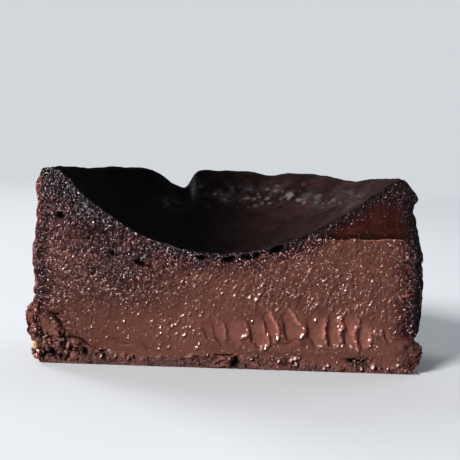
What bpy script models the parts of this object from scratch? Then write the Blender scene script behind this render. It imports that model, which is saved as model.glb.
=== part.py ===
"""Half of a small round chocolate basque cheesecake, cut straight through its middle.

The whole cake is first turned about +Z as an ideal round: a filling with a sunken top, sitting in a
thin crumb base whose lip climbs the side. Both turned solids are then settled by one function, which
leans the top, moves the low point of the hollow, dents the rim, folds the wall and lets the lip climb
higher on one side. A knife, a plain box, then takes the front half away and leaves the cut face.

Sizes are millimetres here and are turned into metres where a mesh is made. The cut face looks
along -Y, the flat underside is at z = 0, and the origin is below the middle of the object's box.
"""

import math

import bpy
from mathutils import Matrix, Vector

MM = 0.001

# Driving dimensions: a 120 mm tin and the heights read off the cut face.
CAKE_RADIUS = 60.0
RIM_HEIGHT = 60.7
HOLLOW_FLOOR = 36.0
HOLLOW_RADIUS = 51.5
BASE_THICKNESS = 4.5
LIP_HEIGHT = 15.0
GAP = 0.3
STEPS = 120

# Where the cake's axis stands, so that the half's own box is centred on the origin.
AXIS_X = 0.7
CUT_Y = -30.4

# How the round settled as it baked and cooled.
LEAN = 1.3
HOLLOW_SHIFT = 3.7
HEIGHT_TILT = 0.4
CLIMB_LEFT = 2.5
CLIMB_RIGHT = -2.2
LIP_SWELL = 1.2
LIP_SWELL_HEIGHT = 12.0
RIM_DIPS = (
    # angle of the dip, depth, its width towards +X, its width towards -X (degrees and mm)
    (107.0, 6.6, 3.4, 9.5),
    (72.0, 1.3, 4.5, 6.0),
    (36.0, 1.6, 9.0, 11.0),
    (152.0, 0.6, 8.0, 8.0),
)
WALL_CREASES = (
    # angle, depth and width of a fold that the lining paper left in the wall
    (107.0, 1.6, 3.6),
    (132.0, 1.1, 3.2),
    (156.0, 0.8, 3.4),
    (84.0, 0.9, 3.0),
    (61.0, 1.4, 3.6),
    (33.0, 0.9, 3.2),
)
WALL_WAVE = 0.35
WALL_WAVES = 17
CRUMB_WAVE = 0.45
CRUMB_WAVES = 29

# Heights between which each way of settling sets in.
LEAN_FROM, LEAN_FULL = 28.0, 52.0
SHIFT_FROM, SHIFT_FULL = 20.0, 36.0
DIP_FROM, DIP_FULL = 40.0, 58.0
DIP_INNER, DIP_OUTER = 30.0, 52.0
CLIMB_FADED = 30.0
CORNER_FADE = 22.0


def smoothstep(low, high, value):
    """0 below low, 1 above high, and an S-shaped rise between them."""
    t = min(max((value - low) / (high - low), 0.0), 1.0)
    return t * t * (3.0 - 2.0 * t)


def bell(offset, width):
    """1 at no offset, falling away smoothly over the width."""
    return math.exp(-((offset / width) ** 2))


def hollow_height(radius):
    """Height of the sunken top, a paraboloid that climbs from its floor to the rim."""
    rise = RIM_HEIGHT - HOLLOW_FLOOR
    return HOLLOW_FLOOR + rise * (radius / HOLLOW_RADIUS) ** 2


def seat_profile(lift):
    """The face between base and filling: flat in the middle, then curving up into the lip."""
    flat_to = 0.60 * CAKE_RADIUS
    lip_inner = CAKE_RADIUS - 2.6
    points = [(0.0, BASE_THICKNESS + lift), (0.33 * CAKE_RADIUS, BASE_THICKNESS + lift)]
    rings = 7
    for ring in range(rings + 1):
        share = ring / rings
        radius = flat_to + (lip_inner - flat_to) * share
        height = BASE_THICKNESS + (LIP_HEIGHT - 0.8 - BASE_THICKNESS) * share**2.1
        points.append((radius, height + lift))
    return points


def filling_profile():
    """Outline of the turned filling, from the axis over the rim, down the wall and back to the axis."""
    rings = 11
    hollow_edge = HOLLOW_RADIUS - 0.7
    points = [(hollow_edge * i / rings, hollow_height(hollow_edge * i / rings)) for i in range(rings + 1)]
    crest = [(52.6, -0.3), (54.4, 0.0), (56.1, -0.6), (57.2, -2.1), (57.6, -4.2)]
    points += [(radius, RIM_HEIGHT + drop) for radius, drop in crest]
    wall = [(57.5, 52.0), (58.4, 47.0), (59.4, 41.0), (60.0, 35.0), (60.1, 27.0), (60.0, 20.5)]
    points += wall
    points.append((CAKE_RADIUS, LIP_HEIGHT + GAP))
    points += reversed(seat_profile(GAP))
    return points


def base_profile():
    """Outline of the turned crumb base, from the axis up its lip, down the outside and back underneath."""
    points = seat_profile(0.0)
    points.append((CAKE_RADIUS, LIP_HEIGHT))
    points += [(60.8, 13.6), (61.0, 10.5), (60.4, 7.0), (60.3, 4.6), (59.2, 2.4), (57.6, 0.0)]
    points.append((0.0, 0.0))
    return points


def dip_at(angle):
    """How far the rim is dented at this angle: each dent has a width of its own on either side."""
    total = 0.0
    for centre, depth, towards_right, towards_left in RIM_DIPS:
        offset = angle - centre
        total += depth * bell(offset, towards_left if offset > 0 else towards_right)
    return total


def climb_at(angle):
    """How far the lip stands above or below its usual height, from the right corner to the left one."""
    share = (1.0 - math.cos(math.radians(angle))) / 2.0
    ripple = 0.9 * math.sin(math.radians(7.0 * angle)) * math.sin(math.radians(min(angle, 180.0)))
    return CLIMB_RIGHT + (CLIMB_LEFT - CLIMB_RIGHT) * share + ripple


def wall_fold(angle, height):
    """How far the wall stands out or in, where the lining paper was folded."""
    radians = math.radians(angle)
    wave = WALL_WAVE * math.sin(WALL_WAVES * radians + height / 25.0)
    crease = sum(depth * bell(angle - centre, width) for centre, depth, width in WALL_CREASES)
    crumbs = CRUMB_WAVE * math.sin(CRUMB_WAVES * radians + height / 3.0)
    in_crumbs = 1.0 - smoothstep(LIP_HEIGHT - 3.0, LIP_HEIGHT + 3.0, height)
    away_from_corners = smoothstep(0.0, CORNER_FADE, min(angle, 180.0 - angle))
    folded = (wave - crease) * smoothstep(LIP_HEIGHT, LIP_HEIGHT + 12.0, height)
    return away_from_corners * (folded + crumbs * in_crumbs)


def stretch_lip(height, climb):
    """Height after the band round the lip is stretched, so that the lip ends higher or lower."""
    if height <= BASE_THICKNESS or height >= CLIMB_FADED:
        return height
    if height <= LIP_HEIGHT:
        return height + climb * (height - BASE_THICKNESS) / (LIP_HEIGHT - BASE_THICKNESS)
    return height + climb * (CLIMB_FADED - height) / (CLIMB_FADED - LIP_HEIGHT)


def settled(x, y, z):
    """Where a point of the ideal round lies in the settled cake."""
    radius = math.hypot(x, y)
    angle = abs(math.degrees(math.atan2(y, x)))
    outward = (radius / CAKE_RADIUS) ** 6
    swell = LIP_SWELL * bell(z - LIP_SWELL_HEIGHT, 5.0) * smoothstep(1.0, 5.0, z)
    push = outward * (wall_fold(angle, z) - swell * math.cos(math.radians(angle)))
    scale = 1.0 + push / max(radius, 1.0)
    lean = LEAN * smoothstep(LEAN_FROM, LEAN_FULL, z)
    shift = HOLLOW_SHIFT * smoothstep(SHIFT_FROM, SHIFT_FULL, z) * max(0.0, 1.0 - (radius / 58.0) ** 2)
    dent = dip_at(angle) * smoothstep(DIP_INNER, DIP_OUTER, radius) * smoothstep(DIP_FROM, DIP_FULL, z)
    tilt = HEIGHT_TILT * (x / CAKE_RADIUS) * smoothstep(LEAN_FROM, LEAN_FULL, z)
    height = stretch_lip(z, climb_at(angle)) - dent - tilt
    return Vector((x * scale - lean - shift, y * scale, height))


def material(name, colour, roughness):
    """A plain surface in the colour of the real one."""
    made = bpy.data.materials.new(name)
    made.use_nodes = True
    shader = made.node_tree.nodes["Principled BSDF"]
    shader.inputs["Base Color"].default_value = (*colour, 1.0)
    shader.inputs["Roughness"].default_value = roughness
    shader.inputs["Metallic"].default_value = 0.0
    return made


def add_object(name, mesh, collection):
    """A new object on the given mesh, in the given collection."""
    made = bpy.data.objects.new(name, mesh)
    collection.objects.link(made)
    return made


def turned(name, profile, collection):
    """A round solid: the profile swept a full turn about +Z, with no spoke on the line of the cut."""
    mesh = bpy.data.meshes.new(name + "_profile")
    points = [(radius * MM, 0.0, height * MM) for radius, height in profile]
    edges = [(i, i + 1) for i in range(len(points) - 1)]
    mesh.from_pydata(points, edges, [])
    mesh.transform(Matrix.Rotation(math.pi / STEPS, 4, "Z"))
    round_one = add_object(name, mesh, collection)
    screw = round_one.modifiers.new("turn", "SCREW")
    screw.angle = 2.0 * math.pi
    screw.steps = STEPS
    screw.render_steps = STEPS
    screw.use_merge_vertices = True
    screw.merge_threshold = 0.00001
    return round_one


def settle(round_one):
    """Replaces the turned round by its settled mesh."""
    bpy.context.view_layer.update()
    graph = bpy.context.evaluated_depsgraph_get()
    mesh = bpy.data.meshes.new_from_object(round_one.evaluated_get(graph))
    for vertex in mesh.vertices:
        vertex.co = settled(*(vertex.co / MM)) * MM
    round_one.modifiers.clear()
    profile = round_one.data
    round_one.data = mesh
    bpy.data.meshes.remove(profile)


def cut_in_half(round_one, knife):
    """Takes away what the knife covers."""
    cut = round_one.modifiers.new("cut", "BOOLEAN")
    cut.operation = "DIFFERENCE"
    cut.solver = "EXACT"
    cut.object = knife


def make_knife(parent, collection):
    """A box over the whole front half, whose rear face is the line of the cut."""
    side = 3.0 * CAKE_RADIUS * MM
    bpy.ops.mesh.primitive_cube_add(size=side)
    knife = bpy.context.active_object
    knife.name = "knife"
    for owner in list(knife.users_collection):
        owner.objects.unlink(knife)
    collection.objects.link(knife)
    knife.parent = parent
    knife.location = (0.0, -side / 2.0, RIM_HEIGHT * MM / 2.0)
    knife.hide_render = True
    knife.display_type = "WIRE"
    return knife


def new_collection(name):
    """A new collection in the scene."""
    made = bpy.data.collections.new(name)
    bpy.context.scene.collection.children.link(made)
    return made


def main():
    for old in list(bpy.data.objects):
        bpy.data.objects.remove(old, do_unlink=True)
    parts = new_collection("basque_cheesecake_half")
    cutters = new_collection("cutters")
    cutters.hide_render = True
    axis = add_object("cake_axis", None, parts)
    axis.location = (AXIS_X * MM, CUT_Y * MM, 0.0)
    knife = make_knife(axis, cutters)
    pieces = (
        ("cheesecake", filling_profile(), material("baked_chocolate_filling", (0.125, 0.046, 0.036), 0.42)),
        ("crumb_base", base_profile(), material("chocolate_crumb", (0.095, 0.040, 0.032), 0.62)),
    )
    for name, profile, finish in pieces:
        piece = turned(name, profile, parts)
        settle(piece)
        piece.data.materials.append(finish)
        piece.data.shade_smooth()
        piece.data.set_sharp_from_angle(angle=math.radians(40.0))
        piece.parent = axis
        cut_in_half(piece, knife)


main()
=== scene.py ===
"""Looks of half a chocolate basque cheesecake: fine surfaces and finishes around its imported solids.

Shapes are worked out in millimetres in the cake's own frame: x runs along the cut, y runs from the cut
face back into the cake, and z runs up from the underside. The axis of the round cake is at x = y = 0.
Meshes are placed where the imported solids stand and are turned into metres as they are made.
"""

from __future__ import annotations

import itertools
import logging
import math
from abc import ABC, abstractmethod
from dataclasses import dataclass
from enum import Enum
from typing import Any, Mapping, Sequence

import bmesh
import bpy
import numpy as np
from mathutils import Matrix, Vector

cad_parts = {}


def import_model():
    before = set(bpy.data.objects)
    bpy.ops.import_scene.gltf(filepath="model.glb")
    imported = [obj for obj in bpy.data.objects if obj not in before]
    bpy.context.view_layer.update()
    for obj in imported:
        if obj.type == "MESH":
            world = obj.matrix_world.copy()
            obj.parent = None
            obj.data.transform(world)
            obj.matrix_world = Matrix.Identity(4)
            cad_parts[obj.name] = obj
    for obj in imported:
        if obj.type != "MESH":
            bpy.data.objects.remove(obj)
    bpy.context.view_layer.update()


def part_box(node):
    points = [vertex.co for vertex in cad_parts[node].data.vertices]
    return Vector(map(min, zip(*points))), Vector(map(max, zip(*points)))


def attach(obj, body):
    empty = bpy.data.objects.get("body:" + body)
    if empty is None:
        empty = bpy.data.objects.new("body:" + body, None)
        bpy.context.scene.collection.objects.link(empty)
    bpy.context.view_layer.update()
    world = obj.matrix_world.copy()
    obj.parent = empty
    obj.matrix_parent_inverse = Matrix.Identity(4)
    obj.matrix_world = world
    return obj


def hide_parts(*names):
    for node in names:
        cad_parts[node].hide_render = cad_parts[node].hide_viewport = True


LOG = logging.getLogger("cheesecake")
MM = 0.001
BODY = "root"

# The cake's axis stands this far to the right of the middle of the object's box, as in the solids.
AXIS_X = 0.7

# How far behind the cut face the outside starts, and how many steps a curve takes between two knots.
CUT_INSET = 0.35
STEPS_BETWEEN_KNOTS = 24

Points = np.ndarray
Indices = np.ndarray
Colour = tuple[float, float, float]

# A node's settings, or what its sockets are given, by name or number.
Given = Mapping[Any, Any]

# A surface's points and the values that its finish reads. Places on the cut face as x and z, and a
# facet or a pearl as x, z, radius and how far it stands out.
Surface = tuple[Points, dict[str, Points]]
Line = tuple[tuple[float, float], ...]
Facet = tuple[float, float, float, float]


# -------- Small curves and blends --------


def ease(low: float, high: float, value: Points) -> Points:
    """0 below low, 1 above high and an S-shaped rise between them: 3t^2 - 2t^3."""
    t = np.clip((value - low) / (high - low), 0.0, 1.0)
    return t * t * (3.0 - 2.0 * t)


def bell(offset: Points, width: float | Points) -> Points:
    """A smooth hump: 1 at no offset, exp(-(offset / width)^2) away from it."""
    return np.exp(-((offset / width) ** 2))


def patch(x: Points, z: Points, centre: tuple[float, float], radii: tuple[float, float]) -> Points:
    """A soft oval patch on the cut face: a bell of the distance in units of the two radii."""
    return bell(np.hypot((x - centre[0]) / radii[0], (z - centre[1]) / radii[1]), 1.0)


def on_plane(x: Points, z: Points) -> Points:
    """Places on the cut face as points with no depth."""
    return np.stack([x, np.zeros_like(x), z], -1)


def window(value: Points, low: float, high: float, soft: float) -> Points:
    """1 between low and high, easing to 0 over the soft width outside them."""
    return ease(low - soft, low, value) * (1.0 - ease(high, high + soft, value))


def arc_length(path: Points) -> Points:
    """Distance travelled along a path of points, from 0 at its start."""
    steps = np.linalg.norm(np.diff(path, axis=0), axis=1)
    return np.concatenate([[0.0], np.cumsum(steps)])


def resampled(path: Points, count: int) -> Points:
    """The same path with count points at even steps along its length."""
    travelled = arc_length(path)
    wanted = np.linspace(0.0, travelled[-1], count)
    return np.stack([np.interp(wanted, travelled, column) for column in path.T], axis=1)


def smooth_path(points: Sequence[Sequence[float]], count: int) -> Points:
    """A Catmull-Rom curve through the points, with count points at even steps.

    Each stretch blends its four nearest points with the cubic
    b + (c - a)t/2 + (2a - 5b + 4c - d)t^2/2 + (3b - a - 3c + d)t^3/2.

    Args:
        points: the points that the curve passes through.
        count: how many points it is given back with.

    Returns:
        An array of count points.
    """
    known = np.asarray(points, float)
    ends = np.vstack([2 * known[0] - known[1], known, 2 * known[-1] - known[-2]])
    a, b, c, d = (ends[i : len(ends) - 3 + i, None] for i in range(4))
    t = np.linspace(0.0, 1.0, STEPS_BETWEEN_KNOTS, endpoint=False)[None, :, None]
    curve = b + (c - a) * t / 2 + (2 * a - 5 * b + 4 * c - d) * t**2 / 2
    curve = curve + (3 * b - a - 3 * c + d) * t**3 / 2
    return resampled(np.vstack([curve.reshape(-1, known.shape[1]), known[-1:]]), count)


def nearest_on_path(x: Points, z: Points, path: Points) -> tuple[Points, Points]:
    """Signed distance to a path on the cut face, and how far along it the nearest point lies.

    Each point is dropped square onto every straight piece of the path, and the nearest drop counts.

    Args:
        x: places along the cut.
        z: heights.
        path: the path's points.

    Returns:
        The distance, positive on the path's left-hand side as the viewer sees it (smaller x for a path
        that runs downwards), and the share of the path's length, from 0 to 1.
    """
    start, step = path[:-1], np.diff(path, axis=0)
    length = np.linalg.norm(step, axis=1)
    dx = x[..., None] - start[:, 0]
    dz = z[..., None] - start[:, 1]
    along = np.clip((dx * step[:, 0] + dz * step[:, 1]) / length**2, 0.0, 1.0)
    off_x = dx - along * step[:, 0]
    off_z = dz - along * step[:, 1]
    distance = np.hypot(off_x, off_z)
    nearest = distance.argmin(-1)[..., None]
    side = np.sign(dx * step[:, 1] - dz * step[:, 0])
    travelled = arc_length(path)[:-1] + along * length
    chosen = [np.take_along_axis(values, nearest, -1)[..., 0] for values in (distance, side, travelled)]
    return chosen[0] * np.where(chosen[1] == 0, 1.0, chosen[1]), chosen[2] / length.sum()


def spread_angles(count: int) -> Points:
    """Angles from 0 to 180 degrees, twice as close near the cut as behind: 180(s - 0.08 sin(2 pi s))."""
    share = np.linspace(0.0, 1.0, count)[:, None]
    return 180.0 * (share - 0.08 * np.sin(2.0 * np.pi * share))


@dataclass(frozen=True)
class Grain:
    """Seeded smooth noise and cell noise, worked out for whole arrays of points at once."""

    seed: int

    def _scatter(self, cell: Points, channel: int) -> Points:
        """A fixed number from 0 to 1 for each whole-numbered cell, by multiplying and mixing its bits."""
        whole = cell.astype(np.int64).astype(np.uint64)
        primes = np.array([73856093, 19349663, 83492791], np.uint64)
        salt = np.uint64(self.seed * 1013 + channel * 7919 + 17)
        low = np.uint64(0xFFFFFFFF)
        mixed = np.bitwise_xor.reduce(whole * primes, axis=-1) + salt
        mixed = (((mixed & low) ^ ((mixed & low) >> np.uint64(13))) * np.uint64(1274126177)) & low
        mixed = ((mixed ^ (mixed >> np.uint64(15))) * np.uint64(2246822519)) & low
        mixed = mixed ^ (mixed >> np.uint64(16))
        return (mixed & np.uint64(0xFFFFFF)).astype(float) / float(0xFFFFFF)

    def smooth(self, points: Points, size: float | Sequence[float]) -> Points:
        """Gradient noise from about -1 to 1.

        Each corner of a lattice has a slope of its own, and the slopes are blended with 6t^5-15t^4+10t^3.

        Args:
            points: where it is wanted, in millimetres.
            size: the lattice's spacing, one number or one for each axis.

        Returns:
            One value for each point.
        """
        scaled = points / np.asarray(size, float)
        base = np.floor(scaled)
        rest = scaled - base
        blend = rest**3 * (rest * (rest * 6.0 - 15.0) + 10.0)
        total = np.zeros(points.shape[:-1])
        for corner in itertools.product((0.0, 1.0), repeat=3):
            offset = np.array(corner)
            slope = np.stack([self._scatter(base + offset, axis) for axis in range(3)], -1) * 2.0 - 1.0
            weight = np.prod(np.where(offset > 0, blend, 1.0 - blend), axis=-1)
            total += weight * ((rest - offset) * slope).sum(-1)
        return total * 1.7

    def on_face(self, x: Points, z: Points, size: float, shift: float = 0.0) -> Points:
        """Smooth noise over the cut face; a shift gives a pattern of its own."""
        return self.smooth(np.stack([x, z, x], -1) + shift, size)

    def layered(self, points: Points, size: float, octaves: int) -> Points:
        """Smooth noise added to finer copies of itself, each half the size and half as strong."""
        return sum(self.smooth(points + 7.3 * k, size / 2.0**k) / 2.0**k for k in range(octaves))

    def cells(self, points: Points, size: float) -> tuple[Points, Points, Points]:
        """Distances to scattered centres, one centre in each cube of the given size.

        Args:
            points: where they are wanted.
            size: the cubes' side in millimetres.

        Returns:
            The distance to the nearest centre and to the second nearest, in units of size, and a number
            from 0 to 1 that is the same all over the nearest centre's cell.
        """
        scaled = points / size
        base = np.floor(scaled)
        near = np.full(points.shape[:-1], 9.0)
        second = near.copy()
        name = np.zeros_like(near)
        for offset in itertools.product((-1.0, 0.0, 1.0), repeat=3):
            cell = base + np.array(offset)
            centre = cell + np.stack([self._scatter(cell, axis + 3) for axis in range(3)], -1)
            distance = np.linalg.norm(scaled - centre, axis=-1)
            closer = distance < near
            second = np.where(closer, near, np.minimum(second, distance))
            name = np.where(closer, self._scatter(cell, 6), name)
            near = np.where(closer, distance, near)
        return near, second, name


# -------- The cake's form, the same rules as its solids --------


@dataclass(frozen=True)
class Dent:
    """A dent round the cake: its angle, depth, and its widths towards the right and left corners."""

    angle: float
    depth: float
    towards_right: float
    towards_left: float


def dented(angle: Points, dents: Sequence[Dent]) -> Points:
    """How deep the dents go at an angle: a bell for each, with a width of its own on either side."""
    widths = [np.where(angle > dent.angle, dent.towards_left, dent.towards_right) for dent in dents]
    return sum(dent.depth * bell(angle - dent.angle, width) for dent, width in zip(dents, widths))


@dataclass(frozen=True)
class Knob:
    """Where a corner of the cut bulges or notches: angles from none to full, height, reach and width."""

    none_at: float
    full_at: float
    height: float
    reach: float
    width: float


@dataclass(frozen=True)
class CakeForm:
    """The round cake before it was cut: a turned ideal, and how it settled as it baked and cooled.

    Its paths are half profiles, as radius and height, with count points at even steps. Its other methods
    take arrays of radii and heights in millimetres and of angles in degrees.
    """

    radius: float = 60.0
    rim_height: float = 60.7
    hollow_floor: float = 36.0
    hollow_radius: float = 51.5
    base_thickness: float = 4.5
    lip_height: float = 15.0
    lean: float = 1.3
    hollow_shift: float = 3.7
    height_tilt: float = 0.4
    climb_left: float = 2.5
    climb_right: float = -2.2
    climb_faded: float = 30.0
    lip_swell: float = 1.2
    lip_swell_height: float = 12.0
    wall_wave: float = 0.35
    wall_waves: int = 17
    crumb_wave: float = 0.45
    crumb_waves: int = 29
    corner_fade: float = 22.0
    crest_fall: float = 1.5
    rim_dips: tuple[Dent, ...] = (
        Dent(107.0, 6.6, 3.4, 9.5),
        Dent(72.0, 1.3, 4.5, 6.0),
        Dent(36.0, 1.6, 9.0, 11.0),
        Dent(152.0, 0.6, 8.0, 8.0),
    )
    wall_creases: tuple[Dent, ...] = (
        Dent(107.0, 1.6, 3.6, 3.6),
        Dent(132.0, 1.1, 3.2, 3.2),
        Dent(156.0, 0.8, 3.4, 3.4),
        Dent(84.0, 0.9, 3.0, 3.0),
        Dent(61.0, 1.4, 3.6, 3.6),
        Dent(33.0, 0.9, 3.2, 3.2),
    )
    knobs: tuple[Knob, ...] = (
        Knob(14.0, 2.0, 7.4, 1.1, 3.0),
        Knob(14.0, 2.0, 12.6, -1.3, 1.9),
        Knob(166.0, 178.0, 53.5, 1.3, 3.2),
        Knob(166.0, 178.0, 45.0, -0.4, 3.0),
        Knob(10.0, 2.0, 55.8, 1.2, 1.7),
        Knob(10.0, 2.0, 51.0, -0.7, 1.8),
        Knob(10.0, 2.0, 34.5, -0.5, 0.9),
    )

    @property
    def hollow_edge(self) -> float:
        """Where the hollow turns into the crest."""
        return self.hollow_radius - 0.7

    def hollow(self, radius: Points) -> Points:
        """Height of the sunken top: a paraboloid from its floor to the rim."""
        rise = self.rim_height - self.hollow_floor
        return self.hollow_floor + rise * (radius / self.hollow_radius) ** 2

    def hollow_path(self, count: int) -> Points:
        """The sunken top's half profile, from the axis out to just below the rim."""
        radii = np.linspace(0.0, self.hollow_edge, count)
        return np.stack([radii, self.hollow(radii)], 1)

    def crest_path(self, count: int) -> Points:
        """The rim's rounded crest, from the hollow over to the top of the wall."""
        drops = ((52.6, 0.3), (54.4, 0.0), (56.1, 0.6), (57.2, 2.1), (57.6, 4.2))
        knots = [(radius, self.rim_height - drop) for radius, drop in drops]
        return smooth_path([(self.hollow_edge, self.hollow(self.hollow_edge)), *knots], count)

    def wall_path(self, count: int) -> Points:
        """The wall, from under the crest down to the crumb lip."""
        knots = [(57.6, 56.5), (57.5, 52.0), (58.4, 47.0), (59.4, 41.0), (60.0, 35.0), (60.1, 27.0)]
        knots += [(60.0, 20.5), (60.0, self.lip_height)]
        return smooth_path(knots, count)

    def seat_path(self, count: int) -> Points:
        """The face between base and filling, from the lip's edge in to the axis."""
        flat_to, lip_inner = 0.6 * self.radius, self.radius - 2.6
        share = np.linspace(1.0, 0.0, 12)
        rise = self.lip_height - 0.8 - self.base_thickness
        radii, heights = flat_to + (lip_inner - flat_to) * share, self.base_thickness + rise * share**2.1
        outer, middle = [[self.radius, self.lip_height]], [[0.0, self.base_thickness]]
        return resampled(np.vstack([outer, np.stack([radii, heights], 1), middle]), count)

    def lip_path(self, count: int) -> Points:
        """The crumb base's outside, from the top of its lip down to the plate."""
        knots = [(60.0, self.lip_height), (60.8, 13.6), (61.0, 10.5), (60.4, 7.0), (60.3, 4.6), (59.2, 2.4)]
        return smooth_path(knots + [(57.6, 0.0)], count)

    def climb_at(self, angle: Points) -> Points:
        """How far the lip stands above its usual height: a cosine from corner to corner, and a ripple."""
        share = (1.0 - np.cos(np.radians(angle))) / 2.0
        ripple = 0.9 * np.sin(np.radians(7.0 * angle)) * np.sin(np.radians(np.minimum(angle, 180.0)))
        return self.climb_right + (self.climb_left - self.climb_right) * share + ripple

    def wall_fold(self, angle: Points, height: Points) -> Points:
        """How far the wall stands out or in: a wave round it, less each crease's bell."""
        turn = np.radians(angle)
        wave = self.wall_wave * np.sin(self.wall_waves * turn + height / 25.0)
        crumbs = self.crumb_wave * np.sin(self.crumb_waves * turn + height / 3.0)
        in_crumbs = 1.0 - ease(self.lip_height - 3.0, self.lip_height + 3.0, height)
        above_lip = ease(self.lip_height, self.lip_height + 12.0, height)
        folded = (wave - dented(angle, self.wall_creases)) * above_lip
        from_corner = np.minimum(angle, 180.0 - angle)
        return ease(0.0, self.corner_fade, from_corner) * (folded + crumbs * in_crumbs)

    def stretched(self, height: Points, climb: Points) -> Points:
        """Height after the band round the lip is stretched in two straight stretches."""
        below = climb * (height - self.base_thickness) / (self.lip_height - self.base_thickness)
        above = climb * (self.climb_faded - height) / (self.climb_faded - self.lip_height)
        moved = height + np.where(height <= self.lip_height, below, above)
        untouched = (height <= self.base_thickness) | (height >= self.climb_faded)
        return np.where(untouched, height, moved)

    def ragged(self, angle: Points) -> Points:
        """How far the crumbs' upper edge wanders up and down round the wall, but not at the corners."""
        turn = np.radians(angle)
        waves = 0.9 * np.sin(13.0 * turn + 1.0) + 0.8 * np.sin(31.0 * turn + 2.0)
        waves += 0.6 * np.sin(53.0 * turn)
        return waves * ease(3.0, 16.0, np.minimum(angle, 180.0 - angle))

    def settled(self, radius: Points, angle: Points, height: Points) -> Points:
        """Where points of the turned ideal lie in the settled cake.

        The wall is pushed in or out, the top leans and its hollow shifts to the left, the rim is dented
        and the lip is stretched, as in the solids. The cut's corners also bulge and notch a little, and
        the crest falls away at the right one.

        Args:
            radius: distance from the axis.
            angle: angle in degrees, 0 at the right corner and 180 at the left one.
            height: height above the underside.

        Returns:
            Points in the cake's frame.
        """
        cosine, sine = np.cos(np.radians(angle)), np.sin(np.radians(angle))
        outward = (radius / self.radius) ** 6
        swell = self.lip_swell * bell(height - self.lip_swell_height, 5.0) * ease(1.0, 5.0, height)
        corner = sum(
            knob.reach * ease(knob.none_at, knob.full_at, angle) * bell(height - knob.height, knob.width)
            for knob in self.knobs
        )
        push = outward * (self.wall_fold(angle, height) - swell * cosine + corner)
        leaning = ease(28.0, 52.0, height)
        shift = self.hollow_shift * ease(20.0, 36.0, height) * np.maximum(0.0, 1.0 - (radius / 58.0) ** 2)
        dent = dented(angle, self.rim_dips) * ease(30.0, 52.0, radius) * ease(40.0, 58.0, height)
        tilt = self.height_tilt * (radius * cosine / self.radius) * leaning
        fall = self.crest_fall * ease(10.0, 2.0, angle) * bell(radius - 56.8, 1.3) * ease(52.0, 57.0, height)
        rise = self.stretched(height, self.climb_at(angle) + self.ragged(angle)) - dent - tilt - fall
        across = (radius + push) * cosine - self.lean * leaning - shift
        return np.stack([across, (radius + push) * sine, rise], -1)


# -------- Meshes --------


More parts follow.
